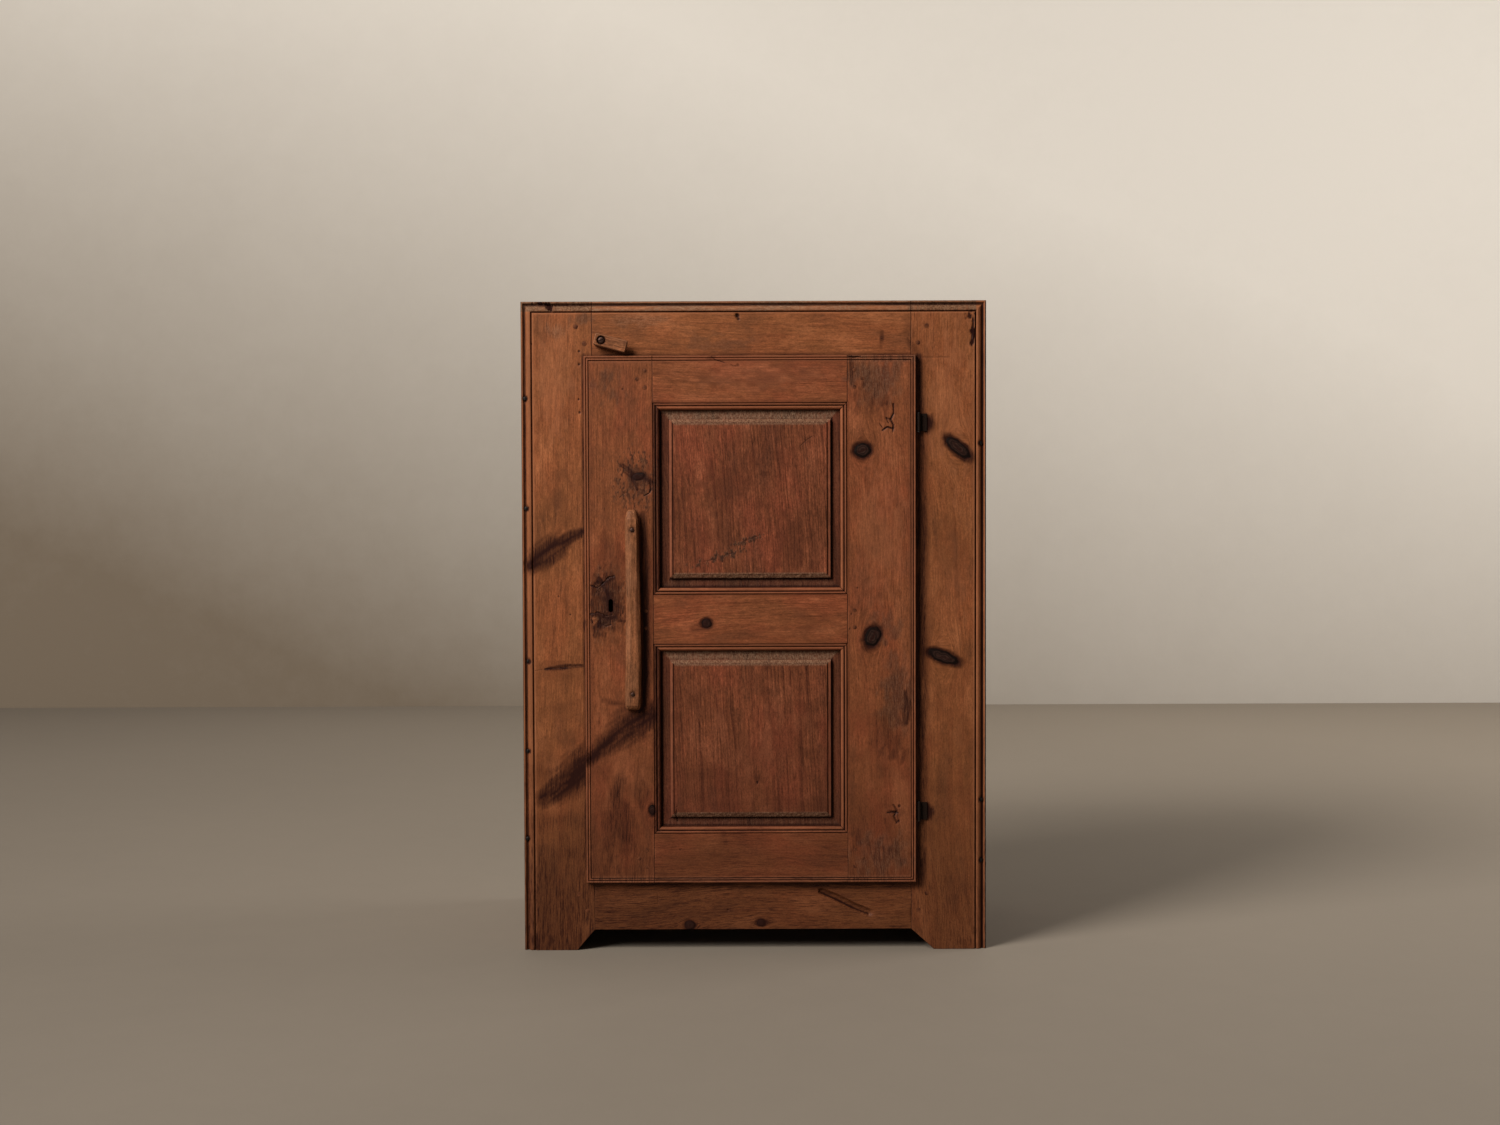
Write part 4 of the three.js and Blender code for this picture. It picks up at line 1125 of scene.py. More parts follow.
FRAME_PEGS: Line = (
    (-272, 961), (-259, 935), (265, 961), (252, 935), (-272, 87), (-259, 61), (265, 87), (252, 61))
DOOR_PEGS: Line = (
    *[(u, v) for u in (-166, 154) for v in (893, 867, 157, 131, 525.5, 499.5)],
    *[(u, v) for u in (-178, 166) for v in (880, 144)])
FRAME_MARKS: tuple[Mark, ...] = (
    *rows(Knot, (313.7, 773.4, 23, 9, -42), (290, 453, 24, 9, -20), (-100.5, 38.7, 8.5, 7, 0),
        (9.5, 41.8, 7, 5.5, 0)),
    # Black streaks, the shadow lines round the door and small smudges
    *rows(SmearAndShadow, (((-344, 595, 30), (-327, 607, 44), (-304, 624, 40), (-284, 637, 26), (-262, 648, 15)), 1, 0.35),
        (((-261.5, 104, 5), (-261.5, 918, 5)), 0.75, 0.1), (((-262, 917.5, 5), (250, 917.5, 5)), 0.6, 0.2),
        (((-322, 436, 4), (-305, 438, 10), (-290, 440, 11), (-276, 441, 6), (-250, 442, 5)), 1),
        (((-326, 236, 32), (-308, 247, 50), (-290, 260, 60), (-270, 277, 66), (-252, 294, 64)), 1, 0.35),
        (((-316, 246, 14), (-292, 260, 30), (-270, 272, 36), (-252, 282, 34)), 1, 0.4),
        (((252, 914, 14), (254, 700, 27), (254, 400, 28), (254, 104, 26)), 0.85, 0.15),
        (((-255, 103, 12), (-120, 102, 18), (0, 101, 19), (252, 101, 20)), 0.8, 0.15),
        (((197, 952, 5), (196, 940, 8), (195, 930, 5)), 0.75, 0.5),
        (((236, 941, 6), (245, 927, 14), (252, 918, 8)), 0.5, 0.5),
        (((-253, 118, 6), (-247, 70, 9), (-246, 40, 6)), 0.4, 0.4)),
    # The gouge in the bottom rail, cracks and scratches
    *rows(Scar, (((-338, 434), (-310, 437), (-283, 440), (-262, 441.5)), 1.6, 0.4, 0.5, 0.3),
        (((102.7, 89.7), (128, 78.5), (150, 67), (175.2, 57.2)), 15, 4, 0.6, 0.35, 0.85),
        (((103, 87), (128, 75.5), (150, 64), (174, 54.5)), 5, 0.6, 1, 0.35, 0.85),
        (((106, 96), (130, 85.5), (152, 74), (176, 64)), 1.6, -0.4, 0, 0.35, 0.8),
        (((-152, 92), (-150, 78), (-151, 70)), 1.4, 0.5, 0.5, 0.3),
        (((250.7, 912.8), (278, 913.2), (301.2, 912.6)), 1, 0.3, 0.6)),
    *rows(Dent, (273.5, 216.4, 2.6, 0.8), (-24.5, 977, 3.8, 2.4, 1), (-22.8, 972, 2.4, 1.4, 1), (-267, 903.6, 2.2),
        (-266.5, 830.1, 2), (-267, 923.5, 2), (-268, 850, 1.6), (-42, 62, 1.8), (-340, 935, 1.6),
        (-301, 548, 1.4, 0.4, 0.7), (-283, 520, 1.4, 0.4, 0.7)),
    # Grime, wear, the broken upper edge, and painted shadow round the hinges
    *rows(StainAndShade, (240, 958, 12, 20, 0.3, 0.7), (-120, 42, 90, 14, 0.5, 0.6), (140, 40, 90, 12, 0.5, 0.6),
        (-330, 14, 34, 26, 0.9, 0.5), (320, 12, 40, 22, 0.6, 0.5), (-150, 885, 30, 8, 0.3),
        (-300, 700, 30, 60, 0.2, 0.7), (300, 620, 30, 60, 0.15, 0.7), (-262, 60, 16, 40, 0.45)),
    *rows(StainAndShade, (-300, 955, 24, 14), (-262, 972, 24, 12, 0.35), dust=0.4),
    StainAndShade(-60, 935, 60, 14, 0.22, 0.7, dust=0.2), StainAndShade(-170, 970, 60, 14, dust=0.3),
    StainAndShade(-310, 880, 40, 110, pale=0.35), StainAndShade(298, 560, 40, 110, pale=0.14, ragged=0.6),
    StainAndShade(300, 850, 46, 150, pale=0.3, ragged=0.6), StainAndShade(-294, 437.5, 14, 3.6, 1, 0.3, sink=0.6, cell=5, tilt=3),
    StainAndShade(332, 978, 6, 6, 0.95, 0.9, sink=1, soft=0.5, cell=4),
    StainAndShade(336, 955, 3.4, 28, 1, 0.9, sink=1.6, soft=0.5, cell=5),
    StainAndShade(-325, 997, 12, 4, 1, 0.5, torn=0.5, sink=2.4, soft=0.5, cell=4),
    StainAndShade(-312, 991, 10.5, 5.5, 1, 0.5, torn=0.7, sink=4.4, soft=0.5, cell=4, tilt=-48),
    StainAndShade(288, 991, 54, 8, torn=0.7, dust=0.6, sink=0.8, soft=0.5, cell=5, ragged=0.3),
    StainAndShade(-282, 993, 40, 8, torn=0.8, dust=0.6, sink=1, soft=0.4, cell=5, ragged=0.3),
    # Painted shadow round each hinge, beside the door's edge, which the dark leaves merge into
    *[StainAndShade(262, z, 20, 21, 1, 0.12, soft=0.6) for z in (812, 214)],
    *[Dent(u, v, 5.4, 0.7, 1) for u, v in MOULDING_NAILS], Weather(-249, 241, 983, 1001, dust=0.95),
    Weather(-358, -337, -1, 984, dark=0.22, soft=4), Weather(-358, -248, 983.5, 1001, dark=0.1, dust=0.95, torn=0.5),
    Weather(236, 342, 983, 1001, dark=0.15, dust=0.9, torn=0.5), *[Dent(u, v, 4.3, 0.1, 0.5) for u, v in FRAME_PEGS],
    Weather(-250, 240, 31, 40, dark=0.8, soft=5), GrimeAndShadeSkirt(450, 0.72, 0.6),
)


@dataclass
class FaceFrame:
    """Two stiles on the floor and two rails between them, moulded on the outer edges."""

    thick: float = 21.0
    left_stile: float = 109.0
    right_stile: float = 116.0
    top_rail: float = 94.0
    bottom_rail: float = 84.0
    foot_height: float = 32.0
    left_cut: float = 27.0
    right_cut: float = 35.0
    joint_gap: float = 0.15

    def relief(self, s: Surface) -> None:
        """The moulding as a depth over the distance to the nearest of the left, right and top edges, with painted
        shade in its hollows and along its outer edge.
        """
        distance = np.maximum(inset(s.u, s.v, -HALF_WIDTH, HALF_WIDTH, -ENDLESS, HEIGHT), 0)
        above = (HEIGHT - s.v) <= distance + TINY
        right = (s.u > 0) & ~above
        s.depth += FRAME_MOULDING.depth_at(distance)
        hollow = FRAME_MOULDING.hollow_at(distance)
        inside = distance < FRAME_MOULDING.width + 1
        # Painted shade with grime: the hollows darkened, most on the right, which faces away from the light
        s.raise_mark("dark", inside * np.where(right, 1, 0.8) * fade(0.1, 0.95, hollow))
        s.raise_mark("pale", inside * 0.85 * fade(0.2, -1.2, hollow))
        # Painted shade along the outer edge: a dark line, widest on the right and faint on top, where the light falls
        s.raise_mark("dark", np.where(above, 0.3, 0.95) * fade(1, 0.4, distance / np.where(right, 3.4, 1.8)))
        s.raise_mark("pale", 0.4 * fade(2.2, 0.6, np.abs(distance - FRAME_MOULDING.width - 0.6)))

    def stile(self, side: int) -> Board:
        """A stile: its moulding runs round the upper outer corner, and its inner edge slopes at the foot.

        Pairs stand as on the left, the outer edge first; [::-side] turns them round on the right.
        """
        width, cut = (self.left_stile, self.left_cut) if side < 0 else (self.right_stile, self.right_cut)
        outer = side * HALF_WIDTH
        inner = outer - side * width
        profile = FRAME_MOULDING.curve()[0]
        foot = ((0, inner + side * cut), (self.foot_height * 0.45, inner + side * cut * 0.56),
                (self.foot_height, inner), (HEIGHT, inner))
        name = "left" if side < 0 else "right"
        return Board(
            f"frame_stile_{name}", "frame", FRAME_PINE, FRONT, Lay.UPRIGHT,
            (0, HEIGHT), (straight(outer), foot)[::-side], 0, self.thick,
            Grain(-side * 330 + 12, 85 if side < 0 else 60, 0.035 * side, 21 + side),
            self.relief, FRAME_MARKS, bands=(0, 6)[::-side], side_line=8.6,
            fixed_across=outer - side * profile, fixed_along=HEIGHT - profile)

    def rail(self, top: bool) -> Board:
        """A rail between the stiles; the top one carries the moulding along."""
        left = -HALF_WIDTH + self.left_stile + self.joint_gap
        right = HALF_WIDTH - self.right_stile - self.joint_gap
        low = HEIGHT - self.top_rail if top else self.foot_height
        high = HEIGHT if top else self.foot_height + self.bottom_rail
        name = "top" if top else "bottom"
        grain = Grain(-955, 70, 0.02, 31) if top else Grain(-60, 50, -0.03, 32)
        return Board(
            f"frame_rail_{name}", "frame", FRAME_PINE, FRONT, Lay.LEVEL,
            (left, right), (straight(low), straight(high)), 0, self.thick, grain, self.relief, FRAME_MARKS,
            side_line=8.6, fixed_across=HEIGHT - FRAME_MOULDING.curve()[0] if top else ())

    def build(self) -> None:
        """Makes the four members."""
        for board in (self.stile(-1), self.stile(1), self.rail(True), self.rail(False)):
            board.make()


# The door

DOOR_MARKS: tuple[Mark, ...] = (
    *rows(Knot, (165.6, 770.3, 12.8, 10.5, 15), (180.8, 484.6, 16, 11.5, 65), (-176, 731.4, 10, 6, 10),
        (-73.8, 506.1, 7.5, 7, 0), (-158, 219.5, 5.5, 8, 0)),
    # Dark streaks round the knots and the keyhole, and a painted shadow beside the handle
    *rows(SmearAndShadow, (((-200, 748, 8), (-188, 738, 12), (-178, 730, 16), (-164, 728, 13), (-153, 722, 9)), 0.95, 0.5),
        (((-197, 738, 5), (-186, 728, 8), (-178, 712, 7)), 0.9, 0.5),
        (((-246, 552, 10), (-240, 562, 20), (-228, 570, 18), (-216, 577, 10)), 0.97, 0.5),
        (((-250, 520, 6), (-238, 522, 12), (-226, 514, 20), (-212, 517, 12)), 0.97, 0.6),
        (((-232, 548, 14), (-222, 538, 20), (-212, 533, 18), (-203, 530, 12)), 0.9, 0.45),
        (((-237, 576, 9), (-229, 561, 14), (-222, 546, 15), (-220, 525, 15), (-228, 509, 15), (-238, 501, 9)), 1, 0.6),
        (((-256, 298, 30), (-240, 310, 28), (-222, 324, 32), (-204, 338, 46), (-184, 352, 58), (-160, 366, 50)),
         1, 0.35),
        (((-208, 340, 16), (-190, 351, 32), (-172, 361, 30), (-156, 366, 16)), 1, 0.4),
        (((-232, 388, 6), (-218, 384, 9), (-200, 383, 6), (-180, 386, 8)), 0.55, 0.5),
        (((-238, 223, 5), (-205, 221, 8), (-176, 223, 5)), 0.3, 0.4),
        (((148, 914, 8), (150, 895, 10), (149, 872, 6)), 0.75, 0.6),
        (((178, 890, 6), (172, 878, 9), (168, 868, 6)), 0.75, 0.7),
        (((232, 398, 14), (234, 375, 20), (232, 352, 12)), 0.9, 0.3),
        (((206, 216, 12), (216, 212, 22), (228, 214, 12)), 0.45, 0.5),
        (((-48, 180, 12), (-46, 168, 14), (-42, 150, 6)), 0.6, 0.5),
        (((-92, 498, 12), (-80, 502, 16), (-72, 506, 14)), 0.6, 0.3),
        (((-160, 600, 12), (-164, 500, 16), (-160, 420, 12)), 0.4, 0.4),
        # Painted shadow that the handle casts to its right
        (((-170, 674, 10), (-169, 600, 18), (-168, 450, 19), (-168, 380, 14), (-176, 371, 9)), 1, 0.2)),
    # Scratches and the cracks beside the hinges
    *rows(Scar, (((-159, 724), (-157, 712), (-160, 706), (-168, 702)), 3.2, 1.2, 1, 0.8),
        (((-200, 745), (-192, 749), (-184, 745), (-190, 741)), 1.8, 0.7, 0.9, 0.8),
        (((-184, 768), (-180, 757), (-181, 748)), 1.4, 0.5, 0.6, 0.6),
        (((-205, 700), (-196, 707), (-190, 704)), 1.5, 0.5, 0.7, 0.8),
        (((-252, 521), (-240, 524), (-228, 518), (-214, 520)), 2.4, 1.1, 1, 0.8),
        (((-250, 565), (-240, 561), (-234, 566), (-222, 578), (-214, 579)), 2.6, 1.2, 1, 0.9),
        (((-236, 507), (-228, 502), (-219, 505)), 1.8, 0.8, 0.9, 0.7),
        (((143.5, 914), (152, 912.5), (164, 913.8)), 3, 1.2, 1),
        (((213.5, 841), (214, 827), (209, 817), (213.4, 809), (213, 799.4)), 3.6, 1.3, 1, 0.3, 0.7),
        (((209, 817), (202, 820), (206, 812)), 3.2, 1.2, 1, 0.3, 0.7),
        (((213, 803), (204, 806), (196, 800)), 3.6, 1.3, 1, 0.3, 0.7), (((192.4, 811.2), (197, 804)), 1.8, 0.7, 1),
        (((212.8, 226), (218.4, 217), (214, 208), (218, 198)), 4.2, 1.3, 1, 0.5, 0.7),
        (((203, 214), (212, 215), (220, 213)), 3.6, 1.2, 1, 0.5, 0.7),
        (((-69.4, 917.5), (-58, 909), (-45, 905), (-27, 899)), 1.8, 0.6, 0.9, 0.5),
        (((-237.8, 222.6), (-205, 221), (-176, 222.6)), 1.3, 0.2, 0.35, 0.4)),
    *rows(Dent, (222, 224, 2.6, 0.9), (221, 201, 2.4, 0.8), (-24, 901, 2.4, 0.4, 0.5), (-200, 865, 1.8, 0.4, 0.7),
        (148.5, 520, 1.8, 0.3, 0.6), (146, 497, 1.6, 0.4, 0.8), (158, 560, 1.5, 0.3, 0.6),
        (-115, 158, 1.8, 0.4, 0.8)),
    # Grime, wear, the torn patches and a painted glint at the keyhole
    *rows(StainAndShade, (-178, 728, 34, 40, 0.5), (-226, 540, 40, 60, 0.7, 0.5), (-205, 600, 40, 40, 0.34, 0.7),
        (-226, 632, 24, 20, 0.3, 0.7), (176, 858, 30, 34, 0.55, 0.6), (196, 845, 30, 20, 0.35, 0.8),
        (160, 165, 28, 28, 0.5, 0.6), (212, 330, 34, 60, 0.45, 0.6), (-66, 913, 10, 5, 0.55, 0.8),
        (-20, 120, 60, 10, 0.34, 0.6), (-130, 160, 18, 20, 0.4, 0.7), (0, 560, 150, 5, 0.25, 0.6),
        (60, 160, 30, 14, 0.34, 0.7), (-215, 150, 20, 40, 0.3, 0.7), (30, 880, 60, 24, 0.25, 0.7),
        (-60, 880, 30, 24, 0.22, 0.7), (90, 505, 40, 20, 0.2, 0.7)),
    *rows(StainAndShade, (0, 885, 130, 30), (196, 640, 50, 130), pale=0.3),
    *rows(StainAndShade, (-234, 568, 13, 7, 1, 0.7), (-236, 509, 13, 8, 1, 0.9), sink=0.8, cell=4),
    StainAndShade(-206, 200, 52, 130, 0.66, 0.35, cell=24), StainAndShade(-212, 520, 10, 12, 0.85, 0.9, cell=4),
    StainAndShade(-221, 545, 9, 24, 0.9, 0.5, cell=5), StainAndShade(-230, 536, 30, 46, 0.72, 0.8, cell=6),
    StainAndShade(-225, 868, 28, 28, 0.34, 0.6, dust=0.25), StainAndShade(205, 500, 26, 34, 0.38, 0.6, dust=0.3),
    StainAndShade(218, 395, 34, 80, 0.5, dust=0.4), StainAndShade(196, 148, 60, 48, 0.55, 0.4, dust=0.42),
    # The small pale spot at the keyhole, last on the next line, is worn wood painted bright as a glint
    StainAndShade(188, 880, 52, 42, 0.4, 0.4, dust=0.5), StainAndShade(-224.6, 542, 2.4, 5, pale=1, dust=0.6),
    StainAndShade(-176, 704, 26, 16, 0.6, 1.1, torn=0.4, cell=3.5), StainAndShade(-226, 540, 26, 46, torn=0.35, cell=3, ragged=0.9),
    StainAndShade(-178, 728, 30, 34, 0.6, 1, torn=0.45, sink=0.4, cell=4),
    StainAndShade(-232, 512, 18, 12, 0.4, 0.7, torn=0.6, sink=1, cell=4),
    StainAndShade(-236, 560, 16, 10, 0.5, 0.6, torn=0.55, sink=1.2, cell=4, tilt=20),
    Weather(142, 250, 905, 918, dark=0.5, dust=0.4), Weather(-245, 235, 105, 118, dark=0.6, dust=0.2, soft=6),
    *[Dent(u, v, 3.8, 0.1, 0.5) for u, v in DOOR_PEGS], GrimeAndShadeSkirt(440, 0.53, 0.9),
)

PANEL_MARKS: tuple[Mark, ...] = (
    *rows(Scar, (((-76.8, 601.4), (-62, 604), (-45, 610), (-27.5, 616.8)), 2, 0.35, 0.5, 0.9),
        (((-25.9, 627.6), (-10, 634), (11.1, 641.4)), 1.5, 0.3, 0.5, 0.7),
        (((70, 776), (80, 786), (89, 791.8)), 1.3, 0.35, 0.6, 0.4),
        (((-120.4, 224), (-121.5, 210), (-119.5, 200)), 2, 0.9, 0.9, 0.4)),
    Dent(3.5, 261.2, 2.6, 0.6, 0.9),
    # Grime and torn fibre
    *rows(StainAndShade, (54.9, 747.3, 9, 3, 0.5, 0.6), (14, 735, 14, 7, 0.35, 0.7), (40, 760, 18, 18, 0.22, 0.7),
        (-40, 650, 50, 40, 0.22, 0.6), (6, 265, 9, 8, 0.45, 0.6), (20, 400, 14, 10, 0.3, 0.8),
        (50, 330, 40, 60, 0.2, 0.7), (20, 330, 12, 110, 0.3, 0.9), (-30, 720, 60, 50, 0.28, 0.7),
        (60, 620, 40, 60, 0.25, 0.8), (-110, 700, 16, 90, 0.2, 0.9), (110, 300, 24, 90, 0.26, 0.9),
        (-60, 250, 40, 50, 0.22, 0.8)),
    StainAndShade(-8, 634, 26, 4, 0.6, 1, torn=0.6, cell=3, tilt=17),
    StainAndShade(-52, 608, 32, 7, 0.7, 1, torn=0.75, sink=0.3, cell=3, tilt=17),
    GrimeAndShadeSkirt(430, 0.6),
)


@dataclass
class Door:
    """The lipped door: two stiles, three rails and two raised panels."""

    front: float = -10.0
    back: float = 12.0
    left: float = -260.0
    right: float = 248.0
    low: float = 106.0
    high: float = 916.0
    stile: float = 105.0
    bottom_rail_top: float = 182.0
    middle_rail: Place = (475.0, 550.0)
    top_rail_low: float = 844.0
    lip_back: float = -0.5
    lock_lip: float = 14.5
    hinge_lip: float = 9.5
    end_lip: float = 12.5
    groove: Place = (-2.0, 4.6)
    groove_deep: float = 10.0
    joint_gap: float = 0.15
    keyhole: Hole = Hole(-220, 534, 3.5, 10)
    hinge_heights: Place = (813.0, 215.0)
    hinge_half: float = 13.8

    @property
    def rails(self) -> Place:
        """Where the rails meet the lock stile and the hinge stile."""
        return self.left + self.stile, self.right - self.stile

    @property
    def openings(self) -> tuple[Place, Place]:
        """Heights of the two panel openings."""
        return (self.bottom_rail_top, self.middle_rail[0]), (self.middle_rail[1], self.top_rail_low)

    def relief(self, s: Surface) -> None:
        """The twin bead over the distance to the outer edges, and the sticking over that to the openings, with painted
        shade in their hollows and a painted highlight on the right edge.
        """
        outer = np.maximum(inset(s.u, s.v, self.left, self.right, self.low, self.high), 0)
        s.depth += DOOR_BEAD.depth_at(outer)
        hollow = DOOR_BEAD.hollow_at(outer, 1.6)
        inside = outer < DOOR_BEAD.width + 0.6
        # Painted shade: the bead's hollows and the band inside it are darkest on the right and bottom edges, which
        # face away from the light
        shaded = np.where((self.right - s.u <= outer + TINY) | (s.v - self.low <= outer + TINY), 1, 0.72)
        soft = np.where((shaded < 1) & (outer < 5.6), 0.5, 1)
        s.raise_mark("dark", inside * soft * shaded * fade(0.05, 0.6, hollow))
        s.raise_mark("dark", 0.3 * shaded * fade(DOOR_BEAD.width + 5, DOOR_BEAD.width, outer))
        s.raise_mark("pale", inside * 0.7 * fade(0, -0.6, hollow))
        # A painted highlight along the outer bead of the right edge
        s.raise_mark("pale", 0.9 * fade(3.2, 1.8, self.right - s.u))
        for low, high in self.openings:
            depth_in = inset(s.u, s.v, *self.rails, low, high)
            from_edge = STICKING.width - depth_in
            worked = (depth_in > 0) & (from_edge > -0.5)
            from_edge = np.maximum(from_edge, 0)
            s.depth += worked * STICKING.depth_at(from_edge)
            hollow = STICKING.hollow_at(from_edge, 1.8)
            top, left = high - s.v <= depth_in + TINY, s.u - self.rails[0] <= depth_in + TINY
            # Painted shade with grime: the hollows of the sticking, less at the top where the light falls, and the
            # whole left sticking, which faces away from it
            s.raise_mark("dark", worked * np.where(top, 0.75, 1) * fade(0.05, 0.65, hollow))
            s.raise_mark("dark", worked * 0.75 * left)
            # Painted shade with grime round the edge of the opening, where the panel meets the frame
            s.raise_mark("dark", 0.3 * fade(-5, 0.5, depth_in) * fade(STICKING.width, 0, depth_in))
            s.raise_mark("pale", worked * np.where(left, 0.2, 0.5) * fade(0, -0.7, hollow))

    def _worked_edge(self, place: float, way: int, openings: Sequence[Place]) -> Line:
        """An inner edge: it stands out by the sticking along each opening, with slopes of 45 degrees."""
        reach = STICKING.width
        points = [(-ENDLESS, place)]
        for low, high in openings:
            points += [(low, place), (low + reach, place + way * reach),
                       (high - reach, place + way * reach), (high, place)]
        return (*points, (ENDLESS, place))

    def _grooved(self, openings: Sequence[Place]) -> Side:
        """An inner edge with the panel groove along the openings."""
        def shape(deep: float) -> Line:
            """Points of the edge with the groove this deep."""
            front, back = self.groove
            return (0, front), (deep, front), (deep, back), (0, back), (0, self.back - ARRIS), (ARRIS, self.back)
        return Side(shape(0.1), shape(self.groove_deep),
                    tuple((low + STICKING.width, high - STICKING.width) for low, high in openings))

    def _lipped(self, step_in: float, recessed: bool = False) -> Side:
        """An outer edge: the lip, the step behind it, and the recess of the hinge leaves."""
        def shape(sunk: float, deep: float) -> Line:
            """Points of the edge with the recess this far in and this deep."""
            return ((0, self.lip_back - sunk), (step_in + deep, self.lip_back - sunk), (step_in + deep, 10.8),
                    (step_in, 10.85), (step_in, self.back - ARRIS), (step_in + ARRIS, self.back))
        half = self.hinge_half
        spans = tuple((z - half, z + half) for z in self.hinge_heights) if recessed else ()
        return Side(shape(0, 0.02), shape(1.9, 1.9) if recessed else (), spans)

    def stile_board(self, side: int) -> Board:
        """A stile, from the outer edge with its bead to the inner edge with its sticking."""
        inner, outer = (self.rails[0], self.left) if side < 0 else (self.rails[1], self.right)
        worked = self._worked_edge(inner, -side, self.openings)
        lipped = self._lipped(self.lock_lip if side < 0 else self.hinge_lip, side > 0)
        grooved = self._grooved(self.openings)
        bead, stick = outer - side * DOOR_BEAD.curve()[0], inner - side * STICK_LINES
        ends = from_ends(self.low, self.high, DOOR_BEAD.curve()[0])
        mitres = [p for opening in self.openings for p in from_ends(*opening, MITRE_LINES)]
        name = "lock" if side < 0 else "hinge"
        hole = self.keyhole if side < 0 else None
        cuts = [hole.u - hole.half_width, hole.u + hole.half_width, hole.u] if hole else []
        levels = [hole.v + d for d in np.linspace(-hole.half_height, hole.half_height, 15)] if hole else []
        return Board(
            f"door_stile_{name}", "door", DOOR_PINE, FRONT, Lay.UPRIGHT,
            (self.low, self.high), (straight(outer), worked)[::-side], self.front, self.back,
            Grain(215 if side < 0 else -180, 62, 0.03 * side, 41 + side), self.relief, DOOR_MARKS,
            bands=(0, 8)[::-side], fixed_across=(*bead, *stick, *cuts),
            fixed_along=(*ends, *mitres, *levels), lip=(self.end_lip, self.end_lip, self.lip_back), hole=hole,
            body="door", sides=(lipped, grooved)[::-side])

    def _rail_edge(self, place: float, way: int, outer: bool,
                   ends: Place) -> tuple[Line, Side, Array, float]:
        """A long edge of a rail: its course, its side, its grid lines and the width of its band."""
        if outer:
            return straight(place), self._lipped(self.end_lip), place - way * DOOR_BEAD.curve()[0], 0
        return self._worked_edge(place, way, (ends,)), self._grooved((ends,)), place + way * STICK_LINES, 8

    def rail_board(self, name: str) -> Board:
        """A rail, worked along each panel that it carries and lipped where it is an outer edge."""
        low, high, grain = {
            "bottom": (self.low, self.bottom_rail_top, Grain(-150, 66, 0.02, 51)),
            "middle": (*self.middle_rail, Grain(-500, 74, -0.02, 52)),
            "top": (self.top_rail_low, self.high, Grain(-860, 58, 0.03, 53))}[name]
        ends = self.rails[0] + self.joint_gap, self.rails[1] - self.joint_gap
        edges, sides, lines, bands = zip(self._rail_edge(low, -1, name == "bottom", ends),
                                         self._rail_edge(high, 1, name == "top", ends))
        return Board(
            f"door_rail_{name}", "door", DOOR_PINE, FRONT, Lay.LEVEL, ends, edges, self.front + 0.12, self.back, grain,
            self.relief, DOOR_MARKS, bands=bands, fixed_across=np.concatenate(lines),
            fixed_along=from_ends(*ends, MITRE_LINES), body="door", sides=sides)

    def build(self) -> None:
        """Makes stiles, rails and panels."""
        for board in (self.stile_board(-1), self.stile_board(1),
                      *[self.rail_board(name) for name in ("bottom", "middle", "top")]):
            board.make()
        for name, opening in zip(("lower", "upper"), self.openings):
            Panel(name, opening, self.rails).board().make()


